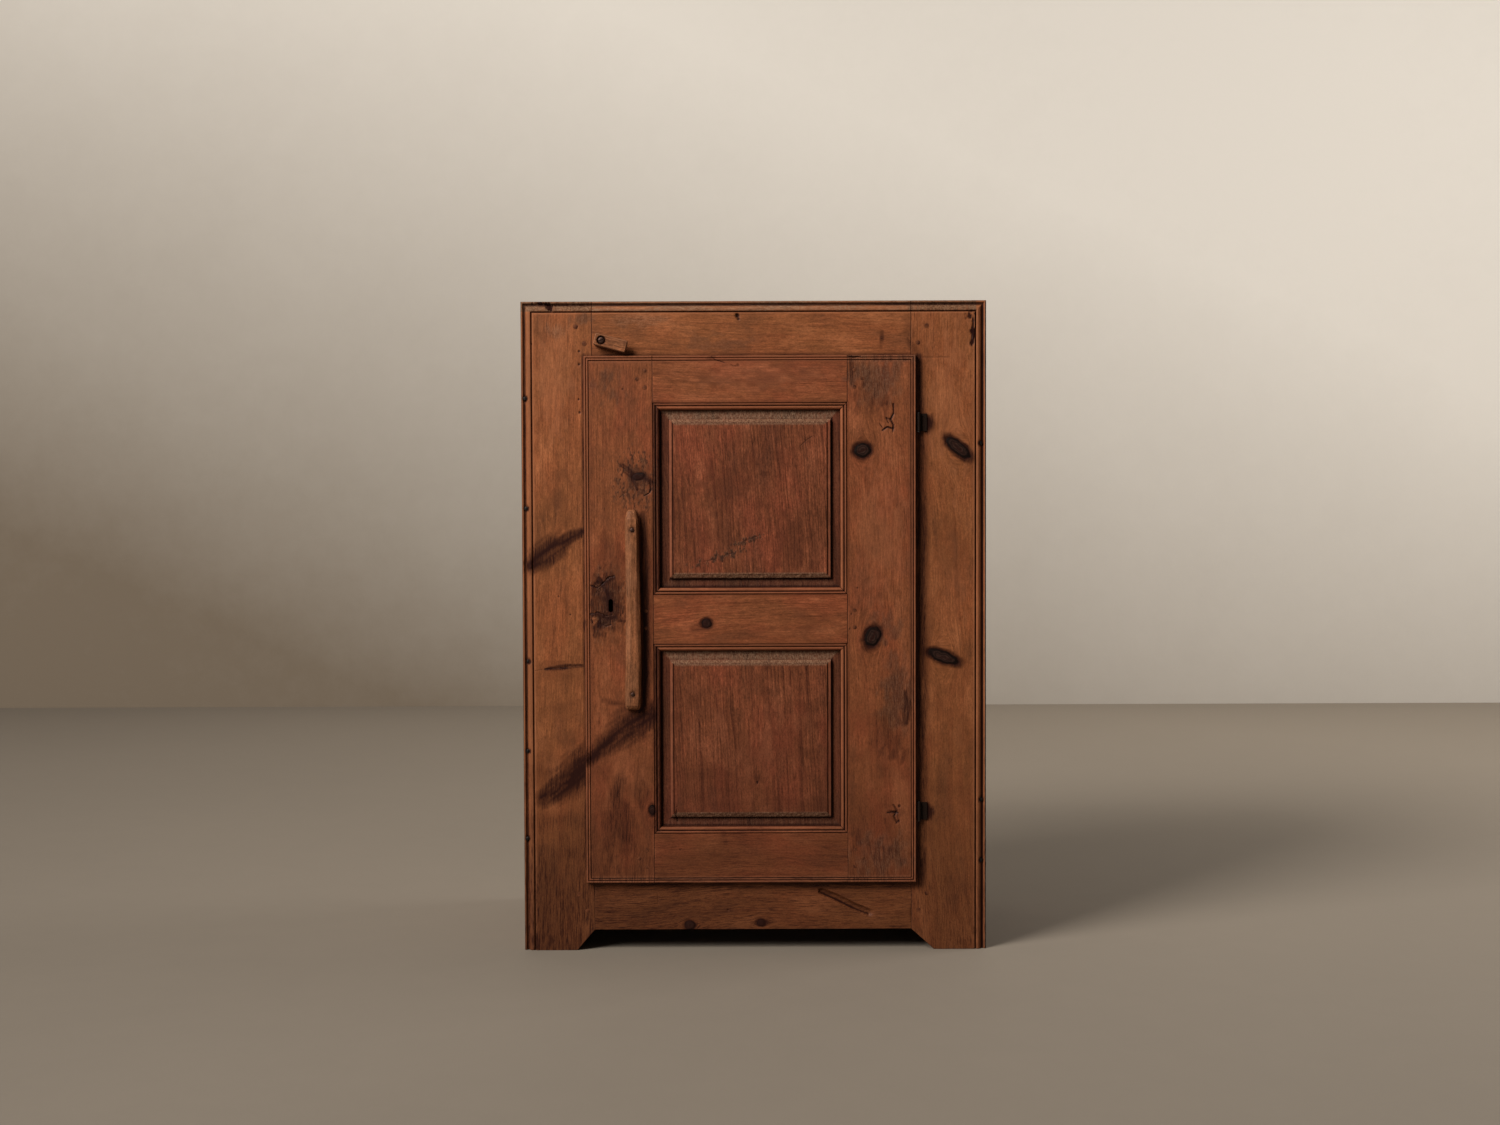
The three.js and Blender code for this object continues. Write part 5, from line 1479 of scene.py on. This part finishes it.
@dataclass
class Panel:
    """A raised panel: tongue, step, bevel and field, its bevels rough where they cross the grain."""

    name: str
    heights: Place
    sides: Place
    edge: float = 3.0
    step_inset: float = 25.5
    bevel: float = 6.2
    bevel_height: float = 2.4
    step_height: float = 4.6
    tongue_front: float = -1.7
    tongue_thick: float = 6.0

    def relief(self, s: Surface) -> None:
        """Depth under the field over the distance to the nearest edge of the opening, with painted shadows and
        highlights round the field.
        """
        level = np.minimum(s.u - self.sides[0], self.sides[1] - s.u)
        upright = np.minimum(s.v - self.heights[0], self.heights[1] - s.v)
        within = np.minimum(level, upright)
        crossing = upright < level
        above, left = s.v > np.mean(self.heights), s.u < np.mean(self.sides)
        sunk, lip, end = self.bevel_height + self.step_height, self.step_inset, self.step_inset + self.bevel
        beaded = np.interp(within, (lip - 0.05, lip + 0.05, lip + 0.9, end - 2, end - 1.3, end - 0.7, end),
                           (sunk, 2.3, 1.5, 1.1, 2.3, 2.1, 0))
        rough = np.interp(within, (lip - 0.05, lip + 0.05, lip + 0.9, end), (sunk, 2.9, 2.2, 0))
        hacked = rough_noise(s.u, s.v, 3.2, 2.6, 5 + int(self.heights[0]))
        bevel = fade(lip - 0.3, lip + 0.5, within) * fade(end + 2.5, end, within)
        ground = fade(lip, lip - 0.4, within)
        s.depth += np.where(crossing, rough + bevel * (0.35 + 0.45 * hacked) + 0.25 * hacked * ground, beaded)
        dusty = np.maximum(0.8 * bevel, np.where(above, 0.95, 0.35) * ground)
        s.raise_mark("dust", np.where(crossing, dusty, 0.1 * ground))
        s.raise_mark("torn", crossing * 0.45 * bevel)
        s.raise_mark("pale", crossing * 0.5 * bevel)
        # Painted shadow on the ground: beside the step, strongest on the right and below, where the raised field casts
        # it; beside the sticking, strongest on the left and below; and over the ground, none on top where the light
        # falls
        by_step = fade(5.2, 1, np.abs(within - lip + 0.6)) * fade(lip + 0.6, lip - 0.2, within)
        by_bead = fade(STICKING.width + 6, STICKING.width + 1, within)
        sides = (crossing & above, crossing, left)
        for shares, right, where in (((0.1, 0.95, 0.35), 1, by_step), ((0.3, 0.9, 1), 0.5, by_bead),
                                     ((0, 0.5, 0.5), 0.3, ground)):
            s.raise_mark("dark", np.select(sides, shares, right) * where)
        # Painted shade in the quirk at the edge of the field, and a painted highlight on the lip of the step at the
        # sides
        s.raise_mark("dark", np.where(crossing, 0.35, 0.85) * fade(1.3, 0.3, np.abs(within - end + 0.9)))
        s.raise_mark("pale", ~crossing * 0.6 * fade(2.2, 1.2, np.abs(within - lip - 2)))

    def board(self) -> Board:
        """The panel as a board, with grid lines at the turns of its edges."""
        left, right = self.sides[0] + self.edge, self.sides[1] - self.edge
        low, high = self.heights[0] + self.edge, self.heights[1] - self.edge
        lip, end = self.step_inset, self.step_inset + self.bevel
        turns = (11.5, 13, 15, 18, 21, 23.5, lip - 0.5, lip - 0.05, lip + 0.05, lip + 0.4, lip + 0.9,
                 lip + 2.2, end - 2, end - 1.6, end - 1.3, end - 1, end - 0.7, end - 0.35, end, end + 0.8)
        back = self.tongue_front + self.tongue_thick
        face = self.tongue_front - self.step_height - self.bevel_height
        grain = Grain(-25, 55, 0.05, 61) if self.name == "lower" else Grain(40, 55, 0.05, 63)
        return Board(
            f"door_panel_{self.name}", "panel", PANEL_PINE, FRONT, Lay.UPRIGHT, (low, high),
            (straight(left), straight(right)), face, back, grain, self.relief, PANEL_MARKS,
            fixed_across=from_ends(*self.sides, turns), fixed_along=from_ends(*self.heights, turns),
            wave=0.35, body="door", sides=(square_side(back, 0.5),) * 2)


# The carcase

@dataclass
class Carcase:
    """Sides, top, floor, shelves and back boards behind the face frame."""

    front: float = 21.1
    side_thick: float = 18.0
    top_thick: float = 18.0
    top_middle: float = 200.5
    shelf_tops: Point = (116.0, 400.0, 690.0)
    shelf_thicks: Point = (18.0, 16.0, 16.0)
    back_thick: float = 12.0
    back_low: float = 30.0
    lap: float = 8.0
    housing: float = 10.0
    planed = {"step": 4, "wave": 0.5, "finest": 1.8, "long_step": 6, "proud": 0, "side_line": 4.5}

    @property
    def back_left(self) -> float:
        """Where the back boards start, in the housing of the left side."""
        return -HALF_WIDTH + self.side_thick - self.housing + 0.3

    @property
    def back_pitch(self) -> float:
        """How far one back board lies from the next."""
        return -self.back_left / 2

    @property
    def top_end(self) -> float:
        """Where the upright boards end under the top."""
        return HEIGHT - self.top_thick - 0.1

    def side(self, side: int) -> Board:
        """A side: one upright board with knots, nails over the shelves and a worn lower edge."""
        own = (
            (Knot(250, 640, 15, 10, 70), Knot(95, 310, 12, 9, 60), Knot(300, 180, 10, 8, 80), Knot(170, 845, 8, 6, 40),
             StainAndShade(60, 520, 18, 160, dust=0.45, ragged=0.7), StainAndShade(240, 420, 90, 50, dust=0.4, ragged=0.8),
             Scar(((140, 480), (190, 452), (212, 447)), 1.8, 0.6, 0.5, 0.5), Dent(210, 560, 3, 0.5, 0.4),
             Scar(((330, 0), (331, 60), (328, 128)), 1.6, 1.2, 0.9, 0.5), Dent(305, 470, 2.4, 0.5, 0.4)),
            (Knot(130, 560, 15, 10, 70), Knot(285, 790, 12, 9, 60), Knot(210, 255, 10, 8, 80), Knot(80, 905, 8, 6, 40),
             StainAndShade(330, 520, 18, 160, dust=0.45, ragged=0.7), StainAndShade(240, 350, 90, 50, dust=0.4, ragged=0.8),
             Scar(((90, 640), (150, 668), (171, 671)), 1.8, 0.6, 0.5, 0.5), Dent(260, 560, 3, 0.5, 0.4),
             Scar(((47, 0), (49, 40), (46, 95)), 1.6, 1.2, 0.9, 0.5), Dent(150, 470, 2.4, 0.5, 0.4)))
        marks = (*own[side > 0], StainAndShade(200, 20, 190, 44, 0.6, 0.35, cell=18), StainAndShade(120, 700, 60, 120, 0.2, 0.7),
                 *[Dent(y, z, 3.4, 0.9, 0.95) for z in NAIL_HEIGHTS for y in NAIL_DEPTHS],
                 GrimeAndShadeSkirt(260, 0.35))
        name, plane = ("left", LEFT) if side < 0 else ("right", RIGHT)
        return Board(
            f"side_board_{name}", "carcase", CARCASE_PINE, plane, Lay.UPRIGHT, (0, self.top_end),
            (straight(self.front), straight(DEPTH)), 0, self.side_thick,
            Grain(-190 - 30 * side, 70, 0.04 * side, 71 + side), None, marks, ease=1.4, **self.planed)

    def top(self, back: bool) -> Board:
        """A board of the top, its grain from side to side, worn along its open edges."""
        low, high = (self.top_middle + 0.15, DEPTH) if back else (self.front, self.top_middle - 0.15)
        marks = (
            Knot(-210 if back else 120, 300 if back else 95, 14, 9, 10),
            Knot(160 if back else -250, 250 if back else 150, 10, 7, 0),
            StainAndShade(0, 100, 330, 60, pale=0.3, ragged=0.5), StainAndShade(0, 330, 330, 60, dust=0.6, ragged=0.6),
            StainAndShade(-90, 140, 60, 40, 0.3, 0.7), StainAndShade(210, 250, 50, 50, 0.3, 0.7),
            Scar(((-200, 130), (-140, 146), (-60, 150)), 1.4, 0.5, 0.5, 0.4),
            *[Dent(u, y, 3.2, 0.9, 0.95) for u in (-TOP_NAIL_U, TOP_NAIL_U) for y in TOP_NAILS],
        )
        return Board(
            f"top_board_{'back' if back else 'front'}", "carcase", CARCASE_PINE, level_plane(HEIGHT), Lay.LEVEL,
            (-HALF_WIDTH, HALF_WIDTH), (straight(low), straight(high)), 0, self.top_thick,
            Grain(-300 if back else -90, 60, 0.03, 81 + int(back)), None, marks, ease=1.6, **self.planed)

    def shelf(self, index: int) -> Board:
        """The floor of the case or a shelf, with knots, a dark band at the front, dust at the back and a spill."""
        top, thick = self.shelf_tops[index], self.shelf_thicks[index]
        front = self.front if index == 0 else self.front + 4
        half = HALF_WIDTH - self.side_thick - 0.3
        node = ("case_floor", "shelf_lower", "shelf_upper")[index]
        marks = (
            Knot(-150 + 120 * index, 120, 13, 9, 10), Knot(180 - 90 * index, 260, 10, 7, 0),
            StainAndShade(0, 60, 330, 40, 0.3, 0.5), StainAndShade(0, 330, 330, 60, dust=0.5, ragged=0.5),
            StainAndShade(120 - 80 * index, 200, 60, 50, 0.3, 0.6),
        )
        return Board(
            node, "carcase", BARE_PINE, level_plane(top), Lay.LEVEL, (-half, half),
            (straight(front), straight(DEPTH - self.back_thick - 0.3)), 0, thick - 0.1,
            Grain(-120 - 70 * index, 60, 0.03, 91 + index), None, marks, step=6, wave=0.4, ease=1.5, finest=2.5,
            long_step=8, sides=(square_side(thick - 0.1, 1.5), square_side(thick - 0.1)))

    def back(self, index: int) -> Board:
        """One upright board of the back, half-lapped over its neighbours, rough outside."""
        pitch, x0 = self.back_pitch, self.back_left + index * self.back_pitch
        x1 = x0 + pitch - (0 if index == 3 else 0.8)
        half = self.back_thick / 2
        square = square_side(self.back_thick, 0.6)
        under = Side(((0, half), (self.lap, half), (self.lap, self.back_thick)))
        over = Side(((0, half + 0.1), (-self.lap, half + 0.1), (-self.lap, self.back_thick)))
        marks = (
            Knot(x0 + 50 + 20 * (index % 2), 250 + 170 * index, 13, 9, 70),
            Knot(x0 + 110 - 25 * (index % 2), 880 - 190 * index, 10, 8, 60),
            StainAndShade(x0 + 80, 60, 120, 60, 0.45, 0.3, cell=26), StainAndShade(x0 + 60, 500, 30, 240, dust=0.5, ragged=0.7),
            *[Dent(x0 + share * pitch, z, 3.2, 0.8, 0.95) for z in (*NAIL_HEIGHTS, BACK_TOP_NAIL)
              for share in BACK_NAILS])
        return Board(
            f"back_board_{index + 1}", "carcase", BARE_PINE, BACK, Lay.UPRIGHT, (self.back_low, self.top_end),
            (straight(x0), straight(x1)), 0, self.back_thick,
            Grain(-x0 - 60 + 25 * index, 45 + 12 * index, 0.04 * (-1) ** index, 101 + index), None, marks,
            step=5, wave=0.6, ease=1.2, finest=1.8, long_step=7, proud=0,
            sides=(square if index == 0 else under, square if index == 3 else over))

    def build(self) -> None:
        """Makes every board of the carcase."""
        for board in (self.side(-1), self.side(1), self.top(False), self.top(True),
                      *[self.shelf(i) for i in range(3)], *[self.back(i) for i in range(4)]):
            board.make()


# Small turned and whittled pieces

LOBES = 0.07


def turned_skin(profile: Sequence[Place], centre: Place, sides: int, phase: float) -> Skin:
    """A shape turned on an axis along Y: circles of (radius, y), swollen a little four times round.

    Args:
        profile: radius and y of each circle, from front to back.
        centre: x and z of the axis.
        sides: points of a circle.
        phase: turns the swellings, in radians.

    Returns:
        The skin, with every mark at nothing and its grain along the axis.
    """
    angle = circle(sides)
    radius, place = np.array(profile, float).T
    wide = radius[:, None] * (1 + LOBES * np.cos(4 * angle + phase))[None, :]
    u, v = wide * np.cos(angle), wide * np.sin(angle)
    y = np.broadcast_to(place[:, None], u.shape)
    rings = np.stack((u + centre[0], y, v + centre[1]), axis=-1)
    grain = np.stack([u + 1.5, y + 40 * phase, v + 0.8], axis=-1)
    return tube(rings, {**unmarked(u.shape), "grain": grain})


def node_axis(node: str) -> Place:
    """The x and z of the middle of a node's box, in millimetres."""
    low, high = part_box(node)
    middle = (low + high) / 2 / METRE
    return middle.x, middle.z


@dataclass
class Pegs:
    """The square-whittled pegs of the joints, their ends a little domed and dark."""

    body: str
    nodes: tuple[str, ...]
    radius: float
    front: float
    back: float
    proud: float = 0.1

    def build(self) -> None:
        """Makes each peg: a slightly square rod whose end is a little domed, some darker than others."""
        for index, node in enumerate(self.nodes):
            r, top = self.radius, self.front - self.proud
            profile = ((0.3 * r, top), (0.7 * r, top + 0.05), (0.93 * r, top + 0.2), (r, top + 0.7), (r, self.back))
            skin = turned_skin(profile, node_axis(node), 16, index * 1.3)
            around = 0.5 + 0.5 * np.sin(circle(16) + 2.1 * index)
            strength = 0.55 + 0.45 * ((index * 7) % 5) / 4
            skin.marks["dark"] += strength * np.concatenate([
                0.2 + 0.7 * around, 0.1 + 0.6 * around, 0.2 + 0.8 * around, np.full(32, 0.95)])
            weave(f"whittled_{node}", skin, PEG_PINE, self.body, node)


@dataclass
class Handle:
    """The whittled upright bar: facets along it, narrower to the top, with two sunk nails."""

    middle: float = -186.0
    low: float = 375.0
    high: float = 681.0
    width: float = 25.0
    proud: float = 16.0
    seat: float = -10.1
    nail_heights: Place = (399.0, 650.0)
    nail_radius: float = 3.0
    sections: tuple[Point, ...] = (
        (0, 0.8, 0.56), (0.006, 0.88, 0.74), (0.02, 0.96, 0.9), (0.05, 1, 0.96), (0.3, 0.98, 1),
        (0.6, 0.9, 1), (0.86, 0.86, 0.97), (0.95, 0.82, 0.9), (0.982, 0.68, 0.74), (0.994, 0.54, 0.6), (1, 0.36, 0.42))

    def skin(self) -> Skin:
        """Sections up the bar: a rounded outline cut by knife facets that wander along it."""
        share = np.unique(np.concatenate([np.linspace(0, 1, 110), np.linspace(0, 0.05, 12),
                                          np.linspace(0.94, 1, 14)]))
        at, wide, proud = np.array(self.sections).T
        wide, proud = np.interp(share, at, wide), np.interp(share, at, proud)
        z = (self.low + share * (self.high - self.low))[:, None]
        turn = np.linspace(0, np.pi, 25)
        u, v = -np.cos(turn), np.sin(turn) ** 0.3
        facet = 1 - 0.035 * np.abs(np.sin(4.5 * turn + 0.5 * np.sin(z / 37)))
        wander = soft_noise(z + 0 * turn, turn * 9 + 0 * z, 26, 8, 7)
        x = self.middle + 0.5 * self.width * wide[:, None] * np.sign(u) * np.abs(u) ** 0.8 * (facet + 0.02 * wander)
        x = x + 1.1 * np.sin(z / 70 + 0.8)
        y = self.seat - (self.proud - 0.1) * proud[:, None] * v * (facet + 0.015 * (wander - 1))
        nails = [np.hypot(x - self.middle, z - height) for height in self.nail_heights]
        for near in nails:
            y = y + 1.3 * fade(1.9 * self.nail_radius, 0.7 * self.nail_radius, near) * (v > 0.8)
        rings = np.stack([x, np.minimum(y, self.seat), z + 0 * x], axis=-1)
        marks = unmarked(x.shape)
        marks["pale"] = 0.3 * fade(0.6, 1, v) * fade(-0.2, 0.6, wander)
        # Grime round the nails, and painted shade along the sides of the bar where it meets the door
        nail_grime_and_seam_shade = np.maximum(0.75 * fade(7.5, 2.6, np.minimum(*nails)), 0.8 * fade(0.5, 0.1, v))
        marks["dark"] = np.maximum(nail_grime_and_seam_shade, 0.5 * fade(0.93, 1, share)[:, None] * (wander > 0))
        marks["grain"] = np.stack([x - self.middle + 9, z + 0 * x + 500, y + 40], axis=-1)
        return tube(rings, marks)

    def build(self) -> None:
        """Makes the bar and its nails."""
        weave("whittled_door_handle", self.skin(), HANDLE_PINE, "door", "door_handle", 28)
        for node, phase in (("handle_nail_lower", 0.4), ("handle_nail_upper", 1.9)):
            r, top = self.nail_radius, self.seat - self.proud + 0.8
            profile = ((0.25 * r, top), (0.7 * r, top + 0.25), (0.95 * r, top + 0.6), (r, top + 1),
                       (0.6 * r, top + 1.4), (0.5 * r, 4))
            skin = turned_skin(profile, node_axis(node), 14, phase)
            weave(f"wrought_{node}", skin, RUSTED_IRON, "door", node)


@dataclass
class TurnButton:
    """The stepped wooden button on its screw, turned clear of the door."""

    pivot: Place = (-232.0, 939.0)
    rest_angle: float = 75.0
    ends: Place = (-11.3, 40.2)
    half: float = 9.5
    corner: float = 3.0
    front: float = -16.0
    chamfer: float = 1.8
    step_from: float = 18.0
    tip_back: float = -11.0
    seat: float = -0.3
    bore: float = 6.6
    bore_depth: float = 3.4

    def plane(self) -> Plane:
        """The face of the button: u across it and v along it, turned about the pivot."""
        a = math.radians(self.rest_angle)
        return Plane((self.pivot[0], 0, self.pivot[1]), (math.cos(a), 0, math.sin(a)),
                     (math.sin(a), 0, -math.cos(a)), (0, 1, 0))

    def relief(self, s: Surface) -> None:
        """A chamfer over the distance to the edges, and the round counterbore of the screw."""
        edge = inset(s.u, s.v, -self.half, self.half, *self.ends)
        s.depth += np.clip(self.chamfer * 0.9 - edge, 0, None) * 0.9
        s.raise_mark("pale", 0.6 * fade(2.6, 0.6, edge))
        reach = np.hypot(s.u, s.v)
        s.depth += self.bore_depth * fade(self.bore + 0.25, self.bore - 0.25, reach)
        s.raise_mark("dark", 0.95 * fade(self.bore + 1.4, self.bore - 0.6, reach))

    def board(self) -> Board:
        """The button as a board with clipped corners; its thin end is the lip."""
        start, end = self.ends
        h, c = self.half, self.corner
        right = ((start, h - c), (start + 0.35 * c, h - 0.35 * c), (start + c, h), (end - c, h),
                 (end - 0.35 * c, h - 0.35 * c), (end, h - c))
        left = tuple((v, -u) for v, u in right)
        marks = Scar(((-4, 14), (-3, 24), (-4.5, 36)), 0.9, 0.3, 0.5, 0.3), StainAndShade(2, 36, 7, 5, 0.3, 0.6)
        return Board(
            "turn_button", "frame", HANDLE_PINE, self.plane(), Lay.UPRIGHT, self.ends, (left, right),
            self.front, self.seat, Grain(8, 25, 0.02, 111), self.relief, marks, bands=(2, 2),
            lip=(0, end - self.step_from, self.tip_back), step=0.8, back_step=4, ease=0.35, wave=0.1, finest=0.5,
            long_step=0.8, body="button", made="whittled", sides=(square_side(self.seat, 0.4),) * 2)

    def screw(self) -> Skin:
        """The slotted head: a polar grid whose height is a dome, sunk along the slot."""
        radius = np.array([0.15, 0.6, 1.2, 1.8, 2.4, 3, 3.6, 4.2, 4.7, 5, 5, 2.4, 2.4])
        seat = self.front + self.bore_depth - 0.3
        dome = np.array([2.6, 2.6, 2.58, 2.52, 2.42, 2.28, 2.1, 1.8, 1.4, 0.9, 0, 0, seat - 14])
        angle = circle(72)
        x, z = radius[:, None] * np.cos(angle), radius[:, None] * np.sin(angle)
        slot = fade(0.75, 0.5, np.abs(z * math.cos(0.4) - x * math.sin(0.4)))
        y = seat - dome[:, None] + 1.1 * slot * (np.arange(len(radius)) < 10)[:, None]
        rings = np.stack([x + self.pivot[0], y, z + self.pivot[1]], axis=-1)
        return tube(rings)

    def build(self) -> None:
        """Makes the button and its screw."""
        self.board().make()
        weave("slotted_turn_button_screw", self.screw(), RUSTED_IRON, "case", "turn_button_screw")


@dataclass
class Nails:
    """Wrought nail heads of the carcase and the mouldings, a little sunk and domed."""

    radius: float = 2.6
    proud: float = 0.45

    def head(self, plane: Plane, u: float, v: float, face: float, index: int, size: float = 1) -> Skin:
        """One head: a small lobed dome over the face, and a short shank under it."""
        angle = circle(12)
        radius = size * self.radius * np.array([0.3, 0.75, 1, 1, 0.5])
        height = np.array([self.proud, 0.75 * self.proud, 0, -0.9, -5])
        wide = radius[:, None] * (1 + 0.1 * np.cos(4 * angle + index))
        points = plane.place(u + wide * np.cos(angle), v + wide * np.sin(angle),
                             face - np.broadcast_to(height[:, None], wide.shape))
        return tube(points)

    def build(self) -> None:
        """Nails in the mouldings, through the sides and the top, and in the back."""
        top, case = level_plane(HEIGHT), Carcase()
        left, pitch = case.back_left, case.back_pitch
        for name, sunk, size, places in (
                ("side_nails", 0.9, 1, [(p, y, z) for p in (LEFT, RIGHT) for z in NAIL_HEIGHTS for y in NAIL_DEPTHS]),
                ("top_nails", 0.9, 1, [(top, x, y) for x in (-TOP_NAIL_U, TOP_NAIL_U) for y in TOP_NAILS]),
                ("moulding_nails", 3.4, 1.25, [(FRONT, x, z) for x, z in MOULDING_NAILS]),
                ("back_nails", 0.9, 1, [(BACK, left + pitch * (i + share), z) for i in range(4)
                                        for share in BACK_NAILS for z in (*NAIL_HEIGHTS, BACK_TOP_NAIL)])):
            heads = [self.head(*place, sunk, i, size).outward() for i, place in enumerate(places)]
            weave(name, joined(heads), DARK_IRON, "case")


# The studio

@dataclass
class Studio:
    """Camera, lamps, floor and wall."""

    eye: Point = (-0.0064, -2.941, 0.685)
    pitch: float = 1.78
    roll: float = -0.2
    lens: float = 43.2
    wall_y: float = 3.25
    floor: tuple[Colour, Colour] = ((0.1, 0.083, 0.065), (0.3, 0.249, 0.194))
    wall: tuple[Colour, Colour] = ((0.2, 0.155, 0.11), (0.88, 0.83, 0.76))

    def camera(self) -> None:
        """The camera, set by its own axes: it looks along Y, tipped down a little and rolled a little."""
        p, r = math.radians(self.pitch), math.radians(self.roll)
        ahead = Vector((0, math.cos(p), -math.sin(p)))
        right = Vector((1, 0, 0))
        up = right.cross(ahead)
        level, rise = math.cos(r) * right + math.sin(r) * up, math.cos(r) * up - math.sin(r) * right
        data = bpy.data.cameras.new("camera")
        data.lens, data.sensor_width = self.lens, 36
        camera = put("camera", data)
        turned = Matrix((level, rise, -ahead)).transposed().to_4x4()
        camera.matrix_world = Matrix.Translation(Vector(self.eye)) @ turned
        bpy.context.scene.camera = camera

    def surface(self, name: str, shades: tuple[Colour, Colour], slope: Point, start: float,
                points: list[Point]) -> None:
        """A large quad of the room, quietly mottled, with painted light: it passes slowly from a dark shade to a light
        one, as the light of the room falls off across it.

        Args:
            name: of the quad and its finish.
            shades: colours at the two ends of the passage.
            slope: how fast the share of the second shade grows along X, Y and Z, per metre.
            start: share of the second shade at the origin.
            points: corners.
        """
        mesh = bpy.data.meshes.new(name)
        mesh.from_pydata(points, [], [(0, 1, 2, 3)])
        mesh.update()
        g = Graph(name)
        place = g.add("ShaderNodeTexCoord").outputs["Object"]
        broad = g.noise(place, (0.9, 0.9, 0.9), 5, 0.6)
        fine = g.noise(place, (14, 14, 14), 5, 0.7)
        climb = g.add("ShaderNodeVectorMath", (0, place), (1, slope), operation="DOT_PRODUCT")
        share = g.math("ADD", climb.outputs["Value"], start, clamp=True)
        mottled = g.blend(fine, 0.06, g.blend(broad, 0.12, share))
        g.shade("Base Color", g.mix(g.math("SUBTRACT", mottled, 0.09, clamp=True), *shades))
        g.shade("Roughness", 0.85)
        g.bump(fine, 0.6)
        mesh.materials.append(g.material)
        thing = put(name, mesh)

    def lamp(self, name: str, place: Point, aim: Point, size: float, power: float, colour: Colour) -> None:
        """A square soft lamp that faces a point."""
        data = bpy.data.lights.new(name, "AREA")
        data.shape, data.size, data.energy, data.color = "SQUARE", size, power, colour
        lamp = put(name, data)
        lamp.location = place
        lamp.rotation_euler = (Vector(aim) - Vector(place)).to_track_quat("-Z", "Y").to_euler()

    def build(self) -> None:
        """Sets up the room, the light and the view; beyond the room the camera sees a pale tone."""
        self.camera()
        w = self.wall_y
        # Painted light: the floor darkens to the left and towards the front, and the wall to the left and towards the
        # floor
        self.surface("room_floor", self.floor, (0.14, 0.11, 0), 0.52,
                     [(-9, -9, 0), (9, -9, 0), (9, w, 0), (-9, w, 0)])
        self.surface("room_wall", self.wall, (0.16, 0, 0.37), 0.19,
                     [(-9, w, 0), (9, w, 0), (9, w, 7), (-9, w, 7)])
        self.lamp("key", (-5.6, -4.7, 5.1), (0, 0, 0.6), 3.8, 740, (1, 0.96, 0.9))
        self.lamp("top", (-1.3, -1.6, 2.6), (0.05, -0.18, 0.85), 0.7, 34, (1, 0.97, 0.92))
        self.lamp("rim", (4.2, 1, 2.8), (0.2, 0.1, 0.5), 2, 80, (1, 0.97, 0.93))
        world = bpy.data.worlds.new("room_light")
        bpy.context.scene.world = world
        world.use_nodes = True
        tree = world.node_tree
        light = tree.nodes["Background"]
        light.inputs["Color"].default_value = (1, 0.975, 0.94, 1)
        seen = tree.nodes.new("ShaderNodeMath")
        seen.operation = "MULTIPLY_ADD"
        seen.inputs[1].default_value, seen.inputs[2].default_value = 0.42, 0.08
        tree.links.new(tree.nodes.new("ShaderNodeLightPath").outputs["Is Camera Ray"], seen.inputs[0])
        tree.links.new(seen.outputs[0], light.inputs["Strength"])
        bpy.context.scene.view_settings.view_transform = "Standard"


def main() -> None:
    """Builds the room, then the cupboard from the frame outwards."""
    logging.basicConfig(level=logging.INFO, format="%(message)s")
    Studio().build()
    FaceFrame().build()
    Door().build()
    Carcase().build()
    for body, kind, radius, front, back in (("case", "frame_peg", 3.6, 0, 21), ("door", "door_peg", 3, -10, 12)):
        Pegs(body, tuple(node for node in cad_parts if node.startswith(kind)), radius, front, back).build()
    Handle().build()
    TurnButton().build()
    Nails().build()
    for node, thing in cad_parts.items():
        if node.startswith("hinge"):
            # The leaves take the iron darkened as painted shade; the pins stay worn iron
            iron = WORN_IRON if "pin" in node else SHADE_DARKENED_IRON
            thing.material_slots[0].material = iron.material()


if __name__ == "__main__":
    main()
